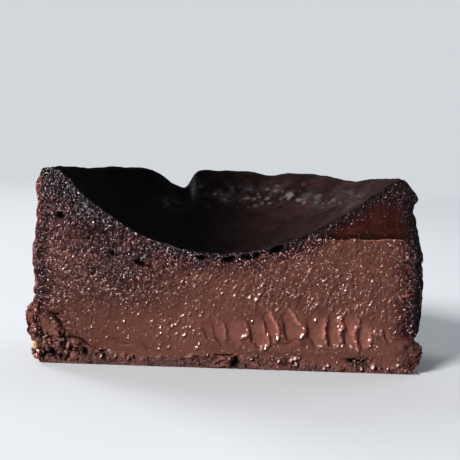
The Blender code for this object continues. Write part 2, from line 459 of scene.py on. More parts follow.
class MeshMaker:
    """Collects grids of points, the faces between them and named values at each point."""

    def __init__(self, placing: Points) -> None:
        """Starts empty; placing is where the cake's frame stands in the object's, in millimetres."""
        self.placing = placing
        self.points: list[Points] = []
        self.faces: dict[int, list[Indices]] = {4: [], 3: []}
        self.looks: dict[int, list[Indices]] = {4: [], 3: []}
        self.values: dict[str, list[Points]] = {}
        self.count = 0

    def add_points(self, points: Points, **values: Points | float) -> Indices:
        """Adds points of any grid shape.

        Args:
            points: the points, whose last axis is x, y, z.
            values: a number for each point, or one for all, under each name.

        Returns:
            The points' numbers, in the grid's shape.
        """
        shape = points.shape[:-1]
        size = int(np.prod(shape))
        for name, known in self.values.items():
            known.append(np.broadcast_to(values.pop(name, 0.0), shape).reshape(-1))
        for name, given in values.items():
            before = [np.zeros(self.count)] if self.count else []
            self.values[name] = before + [np.broadcast_to(given, shape).reshape(-1)]
        self.points.append(points.reshape(-1, 3))
        numbers = np.arange(self.count, self.count + size).reshape(shape)
        self.count += size
        return numbers

    def add_faces(self, faces: Indices, look: int = 0) -> None:
        """Adds faces of three or four sides, one to a row of point numbers."""
        sides = faces.shape[-1]
        self.faces[sides].append(faces.reshape(-1, sides))
        self.looks[sides].append(np.full(faces.size // sides, look))

    def add_grid_faces(self, numbers: Indices, look: int = 0) -> None:
        """Adds a four-sided face between each four neighbours of a grid of point numbers."""
        corners = [numbers[:-1, :-1], numbers[1:, :-1], numbers[1:, 1:], numbers[:-1, 1:]]
        self.add_faces(np.stack(corners, -1), look)

    def add_shell(self, points: Points, values: Mapping[str, Points], look: int) -> tuple[Indices, Indices]:
        """Adds an outside whose rows run round from the right corner to the left one.

        All points of its first row and of its last are the same place, so each becomes one tip.

        Args:
            points: a grid of angles by rows.
            values: what its finish reads at each point.
            look: its finish's number.

        Returns:
            The point numbers of the grid without its first and last row, and those of the two tips.
        """
        inner = {name: given[:, 1:-1] for name, given in values.items()}
        ends = {name: given[0, [0, -1]] for name, given in values.items()}
        numbers = self.add_points(points[:, 1:-1], **inner)
        tips = self.add_points(points[0, [0, -1]], **ends)
        self.add_grid_faces(numbers, look)
        for tip, row in zip(tips, (numbers[:, 0], numbers[:, -1])):
            self.add_faces(np.stack([np.full(len(row) - 1, tip), row[:-1], row[1:]], 1), look)
        return numbers, tips

    def add_zip(self, row_a: Indices, row_b: Indices) -> None:
        """Closes the strip between two rows of points that run side by side.

        Both rows are measured along their length from 0 to 1. Going along them, each point met on one
        row makes a triangle with the point before it and the last point met on the other row.

        Args:
            row_a: point numbers of one row.
            row_b: those of the other, in the same direction.
        """
        cloud = np.vstack(self.points)
        share_a, share_b = (arc_length(cloud[row]) for row in (row_a, row_b))
        share_a, share_b = share_a / share_a[-1], share_b / share_b[-1]
        met_b = np.searchsorted(share_b[1:], share_a[1:], side="left")
        met_a = np.searchsorted(share_a[1:], share_b[1:], side="right")
        from_a = np.stack([row_a[:-1], row_a[1:], row_b[met_b]], 1)
        from_b = np.stack([row_a[met_a], row_b[1:], row_b[:-1]], 1)
        self.add_faces(np.vstack([from_a, from_b]))

    def finish(self, name: str, finishes: Sequence[bpy.types.Material], sharp: float) -> bpy.types.Object:
        """Makes the mesh and its object.

        Args:
            name: the piece's name.
            finishes: its materials, in the order of the look numbers.
            sharp: edges that bend by more than this many degrees stay sharp.

        Returns:
            The new object, at the origin.
        """
        faces = [some for sides in self.faces for some in self.faces[sides]]
        looks = np.concatenate([some for sides in self.looks for some in self.looks[sides]])
        corners = np.concatenate([some.reshape(-1) for some in faces])
        sizes = np.concatenate([np.full(*some.shape) for some in faces])
        mesh = bpy.data.meshes.new(name)
        mesh.vertices.add(self.count)
        mesh.vertices.foreach_set("co", ((np.vstack(self.points) + self.placing) * MM).reshape(-1))
        mesh.loops.add(len(corners))
        mesh.loops.foreach_set("vertex_index", corners.astype(np.int32))
        mesh.polygons.add(len(sizes))
        mesh.polygons.foreach_set("loop_start", (np.cumsum(sizes) - sizes).astype(np.int32))
        mesh.polygons.foreach_set("material_index", looks.astype(np.int32))
        for label, parts in self.values.items():
            layer = mesh.attributes.new(label, "FLOAT", "POINT")
            layer.data.foreach_set("value", np.concatenate(parts).astype(np.float32))
        mesh.update(calc_edges=True)
        mesh.validate()
        face_outwards(mesh)
        mesh.shade_smooth()
        mesh.set_sharp_from_angle(angle=math.radians(sharp))
        for finish in finishes:
            mesh.materials.append(finish)
        LOG.info("%s: %d triangles", name, (sizes - 2).sum())
        return new_object(name, mesh)


def new_object(name: str, data: bpy.types.ID) -> bpy.types.Object:
    """An object in the scene, on the given mesh, lamp or lens."""
    made = bpy.data.objects.new(name, data)
    bpy.context.scene.collection.objects.link(made)
    return made


def face_outwards(mesh: bpy.types.Mesh) -> None:
    """Turns a closed mesh's faces so that they all point out."""
    work = bmesh.new()
    work.from_mesh(mesh)
    bmesh.ops.recalc_face_normals(work, faces=work.faces)
    work.to_mesh(mesh)
    work.free()


def grid_normals(points: Points) -> Points:
    """Unit normals of a grid of points: the cross product of its two directions."""
    across = np.gradient(points, axis=0)
    along = np.gradient(points, axis=1)
    normal = np.cross(across, along)
    length = np.linalg.norm(normal, axis=-1, keepdims=True)
    return normal / np.maximum(length, 1e-9)


def coons(bottom: Points, top: Points, left: Points, right: Points) -> Points:
    """A grid stretched between four edge curves.

    It adds the blend of bottom and top to the blend of left and right, and takes away the blend of
    the four corners. Its first axis runs from left to right and its second from bottom to top.
    """
    u = np.linspace(0.0, 1.0, len(bottom))[:, None, None]
    v = np.linspace(0.0, 1.0, len(left))[None, :, None]
    rows = (1 - v) * bottom[:, None] + v * top[:, None]
    columns = (1 - u) * left[None] + u * right[None]
    corners = (1 - u) * ((1 - v) * bottom[0] + v * top[0]) + u * ((1 - v) * bottom[-1] + v * top[-1])
    return rows + columns - corners


@dataclass(frozen=True)
class CutEdges:
    """Which rows of an outside border its cut: those up to top lie above it, those from foot below."""

    top: int
    foot: int

    def around(self, left: Points, right: Points) -> tuple[Points, Points, Points, Points]:
        """The cut's bottom and top edges, from left to right, and its left and right ones, upwards."""
        bottom = np.concatenate([left[self.foot :], right[-2 : self.foot - 1 : -1]])
        top = np.concatenate([left[self.top :: -1], right[1 : self.top + 1]])
        return bottom, top, left[self.foot : self.top - 1 : -1], right[self.foot : self.top - 1 : -1]

    def flat_grid(self, outside: Points, columns: int, rows: int) -> tuple[Points, list[Points]]:
        """A flat grid over the cut, stretched between the outside's own edges, and those edges."""
        edges = zip(self.around(outside[-1], outside[0]), (columns, columns, rows, rows))
        flat = [resampled(edge, count) * np.array([1.0, 0.0, 1.0]) for edge, count in edges]
        return coons(*flat), flat

    def close(self, maker: MeshMaker, numbers: Indices, tips: Indices, cells: Indices) -> None:
        """Joins the cut's four sides to the outside's edges, from the numbers of all their points."""
        left, right = (np.concatenate([[tips[0]], numbers[end], [tips[1]]]) for end in (-1, 0))
        sides = (cells[:, 0], cells[:, -1], cells[0], cells[-1])
        for side, edge in zip(sides, self.around(left, right)):
            maker.add_zip(side, edge)


def distance_to(x: Points, z: Points, edge: Points) -> Points:
    """Distance from each place on the cut face to the nearest point of an edge, which is taken in parts."""
    distance = np.full(x.shape, np.inf)
    for some in np.array_split(edge, 12):
        gaps = np.hypot(x[..., None] - some[:, 0], z[..., None] - some[:, 2])
        distance = np.minimum(distance, gaps.min(-1))
    return distance


def faceted(x: Points, z: Points, height: Points, facets: Sequence[Facet]) -> tuple[Points, Points]:
    """Lays flat wet facets over a cut face, which rise towards the lower right, facing the window.

    Each is a little longer than wide and leans to the right.

    Args:
        x: places along the cut.
        z: heights.
        height: how far the face stands out before.
        facets: each one's x, z, radius and how far its middle stands out at least.

    Returns:
        How far the face stands out with them, and how much of a facet there is, from 0 to 1.
    """
    covered = np.zeros_like(x)
    for across, up, radius, level in facets:
        dx, dz = x - across, z - up
        apart = np.hypot(1.25 * dx - 0.55 * dz, 0.8 * dz + 0.15 * dx)
        share = 1.0 - ease(0.7, 1.05, apart / radius)
        middle = max(level, float(height.flat[np.argmin(apart)]))
        plane = middle + 0.37 * dx - 0.42 * dz - 0.09 * (dx**2 + dz**2)
        height = height * (1.0 - share) + share * plane
        covered = np.maximum(covered, share)
    return height, covered


# -------- Shader maths --------


class Value:
    """A number somewhere among a material's nodes, which Python's operators combine into Math nodes."""

    def __init__(self, shader: Shader, socket: bpy.types.NodeSocket) -> None:
        """Wraps one output socket."""
        self.shader = shader
        self.socket = socket

    def _with(self, operation: str, other: Value | float, swapped: bool = False) -> Value:
        """A Math node on this value and another, or the other way round."""
        pair = (other, self) if swapped else (self, other)
        return self.shader.add("Math", {"operation": operation}, {0: pair[0], 1: pair[1]})

    def __add__(self, other: Value | float) -> Value:
        """Sum."""
        return self._with("ADD", other)

    def __sub__(self, other: Value | float) -> Value:
        """Difference."""
        return self._with("SUBTRACT", other)

    def __rsub__(self, other: float) -> Value:
        """Difference from a number."""
        return self._with("SUBTRACT", other, swapped=True)

    def __mul__(self, other: Value | float) -> Value:
        """Product."""
        return self._with("MULTIPLY", other)

    def __truediv__(self, other: Value | float) -> Value:
        """Quotient."""
        return self._with("DIVIDE", other)

    def __pow__(self, other: float) -> Value:
        """Power."""
        return self._with("POWER", other)

    __radd__ = __add__
    __rmul__ = __mul__

    def output(self, name: str) -> Value:
        """Another output of the same node."""
        return Value(self.shader, self.socket.node.outputs[name])

    def eased(self, low: float, high: float) -> Value:
        """0 up to low, 1 from high and an S-shaped rise between them, or a fall where low is the higher."""
        sockets = {"Value": self, "From Min": low, "From Max": high}
        return self.shader.add("MapRange", {"interpolation_type": "SMOOTHSTEP"}, sockets)

    def limited(self) -> Value:
        """The value held between 0 and 1."""
        return self.shader.add("Clamp", {}, {"Value": self})


class Spread(Enum):
    """Whether scattered centres fill space or lie on a plane."""

    SPACE = "3D"
    PLANE = "2D"


def from_screen(red: int, green: int, blue: int) -> Colour:
    """A colour as a screen shows it, 0 to 255, turned into linear light."""
    shares = (channel / 255.0 for channel in (red, green, blue))
    return tuple(s / 12.92 if s <= 0.04045 else ((s + 0.055) / 1.055) ** 2.4 for s in shares)


def titled(inputs: Given) -> dict[str, Any]:
    """Inputs of a Principled shader under their own titles, from names such as base_color."""
    return {name.replace("_", " ").title().replace("Ior", "IOR"): given for name, given in inputs.items()}


class Shader:
    """The nodes of one material, or of the world."""

    def __init__(self, owner: bpy.types.Material | bpy.types.World) -> None:
        """Starts with the nodes that a new material or world has."""
        self.owner = owner
        owner.use_nodes = True
        self.tree = owner.node_tree
        self.place = self.add("TexCoord", {}, {}, output="Object")

    def add(self, kind: str, settings: Given, sockets: Given, output: str | int = 0) -> Value:
        """Adds a node.

        Args:
            kind: the node's type, without the word ShaderNode.
            settings: what is set on the node itself, such as its operation. "stops" are a ramp's.
            sockets: numbers, colours or links for its inputs, by name or number.
            output: which of its outputs is wanted.

        Returns:
            That output.
        """
        node = self.tree.nodes.new("ShaderNode" + kind)
        for name, setting in settings.items():
            if name == "stops":
                self._set_stops(node.color_ramp, setting)
            else:
                setattr(node, name, setting)
        for name, given in sockets.items():
            self.join(node.inputs[name], given)
        return Value(self, node.outputs[output])

    @staticmethod
    def _set_stops(ramp: bpy.types.ColorRamp, stops: Sequence[tuple[float, Colour]]) -> None:
        """Gives a ramp its stops, from first to last."""
        while len(ramp.elements) < len(stops):
            ramp.elements.new(1.0)
        for element, (position, colour) in zip(ramp.elements, stops):
            element.position = position
            element.color = (*colour, 1.0)

    def join(self, socket: bpy.types.NodeSocket, given: Value | float | Sequence[float]) -> None:
        """Links a value to an input, or sets the input where it is given a plain number or colour."""
        if isinstance(given, Value):
            self.tree.links.new(given.socket, socket)
        elif socket.type == "RGBA":
            socket.default_value = (*given, 1.0)
        else:
            socket.default_value = given

    def set(self, **inputs: Value | float | Sequence[float]) -> None:
        """Sets or links the Principled shader's inputs; base_color stands for Base Color."""
        for title, given in titled(inputs).items():
            self.join(self.tree.nodes["Principled BSDF"].inputs[title], given)

    def add_film(self, share: Value, **inputs: Value | float | Sequence[float]) -> None:
        """Lays a second Principled shader, such as a wet film, over the first one.

        Args:
            share: how much of it shows at a place, from 0 to 1.
            inputs: its own inputs, named as in set.
        """
        under = Value(self, self.tree.nodes["Principled BSDF"].outputs[0])
        film = self.add("BsdfPrincipled", {}, titled(inputs))
        both = self.add("MixShader", {}, {0: share, 1: under, 2: film})
        self.join(self.tree.nodes["Material Output"].inputs["Surface"], both)

    def attributes(self, *names: str) -> list[Value]:
        """Values that the mesh carries at its points."""
        return [self.add("Attribute", {"attribute_name": name}, {}, "Fac") for name in names]

    def noise(self, size: float, detail: float, rough: float, output: str = "Fac") -> Value:
        """Smooth noise from 0 to 1 whose lumps are about size millimetres, or its Color output."""
        sockets = {"Vector": self.place, "Scale": 1.0 / (size * MM), "Detail": detail, "Roughness": rough}
        return self.add("TexNoise", {}, sockets, output)

    def vector(self, operation: str, *given: Any, output: str = "Vector") -> Value:
        """A Vector Math node on vectors or colours."""
        sockets = dict(enumerate(given))
        return self.add("VectorMath", {"operation": operation}, sockets, output)

    def part(self, place: Value | None = None, axis: str = "X") -> Value:
        """One coordinate of a place, by default of the place on the object."""
        return self.add("SeparateXYZ", {}, {0: place or self.place}, axis)

    def warped(self, size: float, reach: float) -> Value:
        """The place on the object, pushed about by noise of the given size, by up to reach millimetres."""
        push = self.noise(size, 1.0, 0.5, output="Color")
        return self.vector("MULTIPLY_ADD", push, (reach * MM,) * 3, self.place)

    def on_cut(self, place: Value, lean: float, stretch: float) -> Value:
        """The place on the cut face alone, with no depth, turned so that patterns lean.

        Args:
            place: where on the object.
            lean: how far patterns lean to the right, in degrees.
            stretch: how much longer than wide they become.

        Returns:
            A place whose first coordinate runs across the patterns and whose second runs along them.
        """
        cosine, sine = math.cos(math.radians(lean)), math.sin(math.radians(lean))
        across = self.part(place)
        up = across.output("Z")
        along = (across * sine + up * cosine) * (1.0 / stretch)
        return self.add("CombineXYZ", {}, {0: across * cosine - up * sine, 1: along})

    def beads(self, size: float, share: Value, place: Value, spread: Spread, height: float = 1.0) -> Value:
        """Small domes of uneven width, one in some of the cells round scattered centres.

        A cell's own random colour decides how wide its dome is and whether there is one. The dome is
        1 - (distance / width)^2 where that is above 0. On a plane, some domes are cut flat by a slope
        that faces the window, so that they glint.

        Args:
            size: the cells' size in millimetres.
            share: how many of the cells have a dome, from 0 to 1.
            place: where on the object.
            spread: whether the centres lie in space or on a plane.
            height: how high a dome as wide as its cell is, in millimetres.

        Returns:
            The dome's height in millimetres.
        """
        sockets = {"Vector": place, "Scale": 1.0 / (size * MM), "Randomness": 1.0}
        settings = {"voronoi_dimensions": spread.value, "feature": "F1"}
        distance = self.add("TexVoronoi", settings, sockets, output="Distance")
        parts = self.add("SeparateColor", {}, {0: distance.output("Color")}, output="Red")
        width = parts * 0.3 + 0.26
        present = ((share - parts.output("Green")) * 8.0).limited()
        dome = (1.0 - (distance / width) ** 2.0) * width * height
        if spread is Spread.PLANE:
            from_centre = self.vector("SUBTRACT", place, distance.output("Position"))
            rise = self.vector("DOT_PRODUCT", from_centre, (0.52 / MM, -0.31 / MM, 0.0), output="Value")
            level = parts.output("Blue") * width * (3.0 * height)
            dome = self.add("Math", {"operation": "MINIMUM"}, {0: dome, 1: rise + level})
        return dome.limited() * present

    def mix(self, share: Value | float, first: Any, second: Any) -> Value:
        """A blend of two colours."""
        settings = {"data_type": "RGBA", "clamp_factor": True}
        return self.add("Mix", settings, {0: share, 6: first, 7: second}, output=2)

    def shade(self, colour: Any, share: Value) -> Value:
        """A colour made darker or lighter by a number."""
        grey = self.add("CombineXYZ", {}, {0: share, 1: share, 2: share})
        return self.vector("MULTIPLY", colour, grey)

    def bump(self, height: Value) -> Value:
        """A bumped normal from a height in millimetres."""
        return self.add("Bump", {}, {"Height": height, "Distance": MM, "Strength": 1.0})


# -------- Finishes --------


@dataclass(frozen=True)
class CutFinish:
    """The knife's face through the baked filling: brown inside, nearly black and grainy near the skin."""

    inside: Colour = from_screen(107, 69, 59)
    baked: Colour = from_screen(64, 29, 31)
    dark: Colour = from_screen(42, 23, 26)
    crust: Colour = from_screen(16, 13, 19)
    ember: Colour = from_screen(52, 19, 12)
    # Painted rim glow: pink where the back light shines through the cut's left edge.
    rim_glow_and_red: Colour = from_screen(140, 76, 80)
    # Painted highlight: pink on the ridges' crests, where sheen and translucency would show.
    ridge_highlight: Colour = from_screen(150, 92, 80)
    # Near black: painted shade in pits, holes and cracks, and the dark line on the seam's left half.
    hole: Colour = from_screen(6, 3, 3)
    # Painted highlights on the bead tops: pink glints in the filling, grey-blue sky reflections on the dry
    # crust.
    painted_bead_glint: Colour = from_screen(148, 86, 80)
    dry_crust_reflection: Colour = from_screen(112, 110, 121)
    # Painted glow: orange where light shines through thin lips under the scoops.
    lip_glow: Colour = from_screen(150, 82, 56)
    # Painted glow: the light lip on the seam's right half.
    lip: Colour = from_screen(158, 106, 88)
    sheen: Colour = (1.0, 0.8, 0.78)
    seam_height: float = 40.45
    seam_slope: float = 0.0285
    seam_half_width: float = 0.27
    grain_lean: float = 27.0

    def seam(self, shader: Shader) -> tuple[Value, Value, Value]:
        """Where the line that parts the filling from its upper layer lies.

        Args:
            shader: the material that it is for.

        Returns:
            A thin line that is 1 on the seam, a share that is 1 on its right half, and a band above it.
        """
        across = shader.part()
        wander = (shader.noise(5.0, 1.0, 0.5) - 0.5) * (0.9 * MM)
        above = across.output("Z") - across * self.seam_slope - wander - self.seam_height * MM
        line = 1.0 - (above * (1.0 / (self.seam_half_width * MM))) ** 2.0
        line = line * shader.noise(2.4, 1.0, 0.5).eased(0.34, 0.56)
        ends = across.eased(25.0 * MM, 29.0 * MM) + across.eased(-30.0 * MM, -34.0 * MM)
        ends = ends * (1.0 - across.eased(54.0 * MM, 57.0 * MM))
        band = above.eased(0.0, 0.2 * MM) * above.eased(2.6 * MM, 0.8 * MM) * ends
        return line.limited() * ends, across.eased(0.0, 10.0 * MM), band

    def material(self) -> bpy.types.Material:
        """Builds the material from the values that the mesh carries."""
        shader = Shader(bpy.data.materials.new("cut_filling"))
        bake, red, rim_glow_and_red, film, tone = shader.attributes("bake", "red", "rim_glow_and_red", "film", "tone")
        grain, deep, crest, lip_glow = shader.attributes("grain", "deep", "crest", "lip_glow")
        dry_crust_reflection, bead_glint_and_gloss = shader.attributes("dry_crust_reflection", "bead_glint_and_gloss")
        clouds = shader.noise(3.2, 3.0, 0.55)
        specks = shader.noise(0.6, 2.0, 0.6)
        stops = [(0.0, self.inside), (0.42, self.baked), (0.72, self.dark), (1.0, self.crust)]
        mottled = (bake + (specks - 0.5) * 0.5 * bake.eased(0.05, 0.5)).limited()
        colour = shader.add("ValToRGB", {"stops": stops}, {0: mottled})
        colour = shader.mix(red, colour, self.ember)
        seam, right_half, band = self.seam(shader)
        colour = shader.mix(band * 0.35, colour, self.ember)
        # The seam is dark on its left half and a painted glowing lip on its right.
        colour = shader.mix(seam * 0.8, colour, shader.mix(right_half, self.hole, self.lip))
        place = shader.on_cut(shader.warped(1.1, 0.5), self.grain_lean, 1.2)
        large = shader.beads(1.45, 0.03 + (grain ** 2.0) * (0.36 - dry_crust_reflection * 0.3), place, Spread.PLANE, 0.5)
        middle = shader.beads(0.82, grain * 0.65, place, Spread.PLANE, 0.3)
        small = shader.beads(0.54, 0.1 + grain * 0.9, place, Spread.PLANE, 0.23)
        fine = shader.noise(0.6, 1.0, 0.5)
        domes = large + middle + small
        beads = (domes * 16.0).limited()
        # Painted highlight: bead tops drawn paler, standing in for glints.
        bead_top_glint = ((domes * 7.0).limited() ** 2.0) * grain * (1.0 - red * 0.7)
        colour = shader.mix(bead_top_glint * bead_glint_and_gloss, colour, shader.mix(dry_crust_reflection, self.painted_bead_glint, self.dry_crust_reflection))
        # Painted highlight on the ridges' crests.
        colour = shader.mix(crest * 0.55, colour, self.ridge_highlight)
        # Painted glow on the thin lips under the scoops.
        colour = shader.mix(lip_glow * 0.6, colour, self.lip_glow)
        # Painted rim glow along the cut's left edge.
        colour = shader.mix(rim_glow_and_red * specks.eased(0.25, 0.6), colour, self.rim_glow_and_red)
        # Painted shade in the pits, holes and cracks.
        colour = shader.mix(deep, colour, self.hole)
        # Painted shade: darker between the beads, more where the face is grainy.
        shade_between_beads = 1.0 - (1.0 - beads) * grain * 0.4
        light = tone * (0.8 + clouds * 0.4) * (1.0 + (specks - 0.5) * (0.4 + grain * 1.2 + red))
        streaks = 1.0 + red * (shader.noise(3.5, 4.0, 0.65) - 0.5) * 3.0
        light = light * shade_between_beads * streaks * (1.0 - band * right_half * 0.55)
        height = domes + fine * (0.03 + grain * 0.1 + film * 0.08)
        shared = {"base_color": shader.shade(colour, light), "normal": shader.bump(height)}
        shader.set(roughness=0.55, specular_ior_level=0.1, **shared)
        wet = beads * (0.25 + grain) * (1.0 - red * 0.6) * (0.1 + bead_glint_and_gloss * 2.6) + film
        wet = wet.limited() * (1.0 - deep)
        shader.add_film(wet, roughness=0.16, specular_ior_level=0.9, specular_tint=self.sheen, **shared)
        return shader.owner


@dataclass(frozen=True)
class SkinFinish:
    """The baked outside: a nearly black top, and a brown-black wall that the lining paper left dull."""

    top: Colour = from_screen(6, 5, 7)
    # Painted light: dark brown on the hollow's right side, which faces the light, over the black top.
    painted_lit_side: Colour = from_screen(48, 28, 26)
    wall: Colour = from_screen(62, 36, 31)
    scorched: Colour = from_screen(20, 12, 12)
    # Painted highlight: soft grey spots that stand in for glints on the hollow.
    painted_glint_grey: Colour = from_screen(96, 92, 92)
    # Painted rim glow on the skin next to the cut's left edge.
    rim_glow_and_red: Colour = from_screen(116, 66, 68)

    def material(self) -> bpy.types.Material:
        """Builds the material from the values that the mesh carries."""
        shader = Shader(bpy.data.materials.new("baked_skin"))
        side, painted_lit_side, rim_glow_and_red, dust = shader.attributes("side", "painted_lit_side", "rim_glow_and_red", "dust")
        blotches = shader.noise(7.0, 4.0, 0.6)
        specks = shader.noise(0.9, 3.0, 0.6)
        burnt = (shader.part(axis="Z") + blotches * (22.0 * MM)).eased(40.0 * MM, 68.0 * MM)
        # Painted light on the hollow's right side, broken up by blotches.
        colour = shader.mix(painted_lit_side * blotches.eased(0.0, 0.9), self.top, self.painted_lit_side)
        colour = shader.mix(side, colour, shader.mix(burnt, self.wall, self.scorched))
        # Painted rim glow near the cut's left edge.
        colour = shader.mix(rim_glow_and_red * specks.eased(0.3, 0.6), colour, self.rim_glow_and_red)
        drawn = shader.vector("MULTIPLY", shader.warped(3.0, 1.8), (1.0, 0.7, 0.9))
        # Painted highlights: soft grey spots where the hollow's skin would glint, spread by a haze.
        dots = shader.beads(2.1, dust + 0.1, drawn, Spread.SPACE)
        dots = dots + shader.beads(3.2, dust * 0.6, drawn, Spread.SPACE)
        haze = shader.noise(4.5, 3.0, 0.6).eased(0.4, 0.74)
        spots = (dots * (1.1 + haze * 1.6) + haze * 0.35).limited() * dust
        colour = shader.mix(spots, colour, self.painted_glint_grey)
        light = (0.5 + blotches) * (0.5 + specks)
        pores = shader.beads(1.6, side * 0.5, shader.warped(1.5, 1.0), Spread.SPACE)
        relief = pores * 0.5 + shader.noise(1.1, 3.0, 0.6) * (0.1 + side * 0.45)
        shared = {"base_color": shader.shade(colour, light), "normal": shader.bump(relief)}
        shader.set(roughness=0.8, specular_ior_level=0.0, **shared)
        gloss = spots * 0.5 + painted_lit_side * 0.14 + side * blotches * 0.55 + 0.06
        shader.add_film(gloss.limited(), roughness=0.42, specular_ior_level=0.5, **shared)
        return shader.owner


@dataclass(frozen=True)
class CrumbFinish:
    """Pressed chocolate crumb: brown lumps of uneven tone with painted shade in the gaps, small buttery
    glints, and a painted red rim glow at the left edge.
    """

    light: Colour = from_screen(130, 88, 80)
    dark: Colour = from_screen(60, 40, 38)
    # Painted shade in the gaps between crumbs and in holes.
    gap: Colour = from_screen(15, 9, 9)
    # Painted rim glow on crumbs at the left edge, and a real red tint on a few elsewhere.
    rim_glow_and_red: Colour = from_screen(126, 54, 44)
    filling: Colour = from_screen(98, 59, 49)
    pale: Colour = from_screen(204, 168, 132)

    def material(self) -> bpy.types.Material:
        """Builds the material from the values that the mesh carries."""
        shader = Shader(bpy.data.materials.new("chocolate_crumb"))
        deep, tone, rim_glow_and_red = shader.attributes("deep", "tone", "rim_glow_and_red")
        smear, film, pale = shader.attributes("smear", "film", "pale")
        lumps = shader.noise(1.5, 3.0, 0.6)
        specks = shader.noise(0.6, 3.0, 0.65)
        colour = shader.mix((tone * 0.8 + (lumps - 0.5) * 1.2).limited(), self.dark, self.light)
        colour = shader.mix(smear, colour, self.filling)
        # Painted rim glow at the left edge, and some red tint elsewhere.
        colour = shader.mix(rim_glow_and_red * lumps.eased(0.3, 0.55), colour, self.rim_glow_and_red)
        colour = shader.mix(pale, colour, self.pale)
        # Painted shade in the gaps and holes.
        colour = shader.mix(deep, colour, self.gap)
        beads = shader.beads(1.0, lumps * 1.1 - smear * 0.3, shader.warped(0.9, 0.6), Spread.SPACE)
        relief = (specks * (0.5 - smear * 0.3) + beads * 0.8) * (1.0 - film * 0.8)
        light = (0.82 + lumps * 0.36) * (1.0 + (specks - 0.5) * (1.2 - smear * 0.7))
        shared = {"base_color": shader.shade(colour, light), "normal": shader.bump(relief)}
        shader.set(roughness=0.6, specular_ior_level=0.12, **shared)
        wet = ((beads * 5.0).limited() * 0.9 + film + 0.12) * (1.0 - deep)
        shader.add_film(wet.limited(), roughness=0.18, specular_ior_level=1.0, **shared)
        return shader.owner


@dataclass(frozen=True)
class Room:
    """The room's light: dim behind the camera, pale beyond the cake, blended by direction along y."""

    near: Colour = (0.16, 0.165, 0.175)
    far: Colour = (0.56, 0.585, 0.61)
    near_end: float = 0.55
    far_end: float = 0.8

    def tone(self, shader: Shader, along_y: Value) -> Value:
        """The room's colour in a direction whose y runs from -1, behind the camera, to 1."""
        stops = [(self.near_end, self.near), (self.far_end, self.far)]
        return shader.add("ValToRGB", {"stops": stops}, {0: along_y * 0.5 + 0.5})


@dataclass(frozen=True)
class StudioFinish:
    """The plain floor, which far from the cake takes on the room's own pale tone."""

    room: Room
    colour: Colour = (0.52, 0.535, 0.55)
    roughness: float = 0.5

    def material(self) -> bpy.types.Material:
        """Builds the material, with a faint unevenness in its tone."""
        shader = Shader(bpy.data.materials.new("studio_floor"))
        cloud = shader.noise(60.0, 2.0, 0.5)
        reach = shader.vector("LENGTH", shader.place, output="Value")
        tone = self.room.tone(shader, shader.part(axis="Y") / reach)
        far = reach.eased(0.35, 1.7)
        shader.set(
            base_color=shader.shade(self.colour, (0.98 + cloud * 0.04) * (1.0 - far)),
            roughness=self.roughness,
            specular_ior_level=0.0,
            emission_color=shader.shade(tone, far),
            emission_strength=1.0,
        )
        return shader.owner


# -------- The cut face --------


@dataclass(frozen=True)
class Ridge:
    """A thin raised edge between two scoops: its line from top to bottom, and its height."""

    line: Line
    height: float


@dataclass(frozen=True)
class DropField:
    """Raised drops scattered over a part of the cut face.

    The part's two corners, how many drops there are, a drop's usual half length, half width and
    height, and its lean to the right in degrees.
    """

    low: tuple[float, float]
    high: tuple[float, float]
    count: int
    half_length: float
    half_width: float
    height: float
    lean: float


@dataclass(frozen=True)
class Pit:
    """A leaning oval hollow in the cut face: centre, half width, half height, lean in degrees and depth."""

    x: float
    z: float
    half_width: float
    half_height: float
    lean: float
    depth: float


def in_oval(x: Points, z: Points, oval: Pit) -> tuple[Points, Points]:
    """Places relative to a leaning oval, in units of its half width and half height."""
    lean = math.radians(oval.lean)
    dx, dz = x - oval.x, z - oval.z
    across = (dx * math.cos(lean) + dz * math.sin(lean)) / oval.half_width
    up = (-dx * math.sin(lean) + dz * math.cos(lean)) / oval.half_height
    return across, up


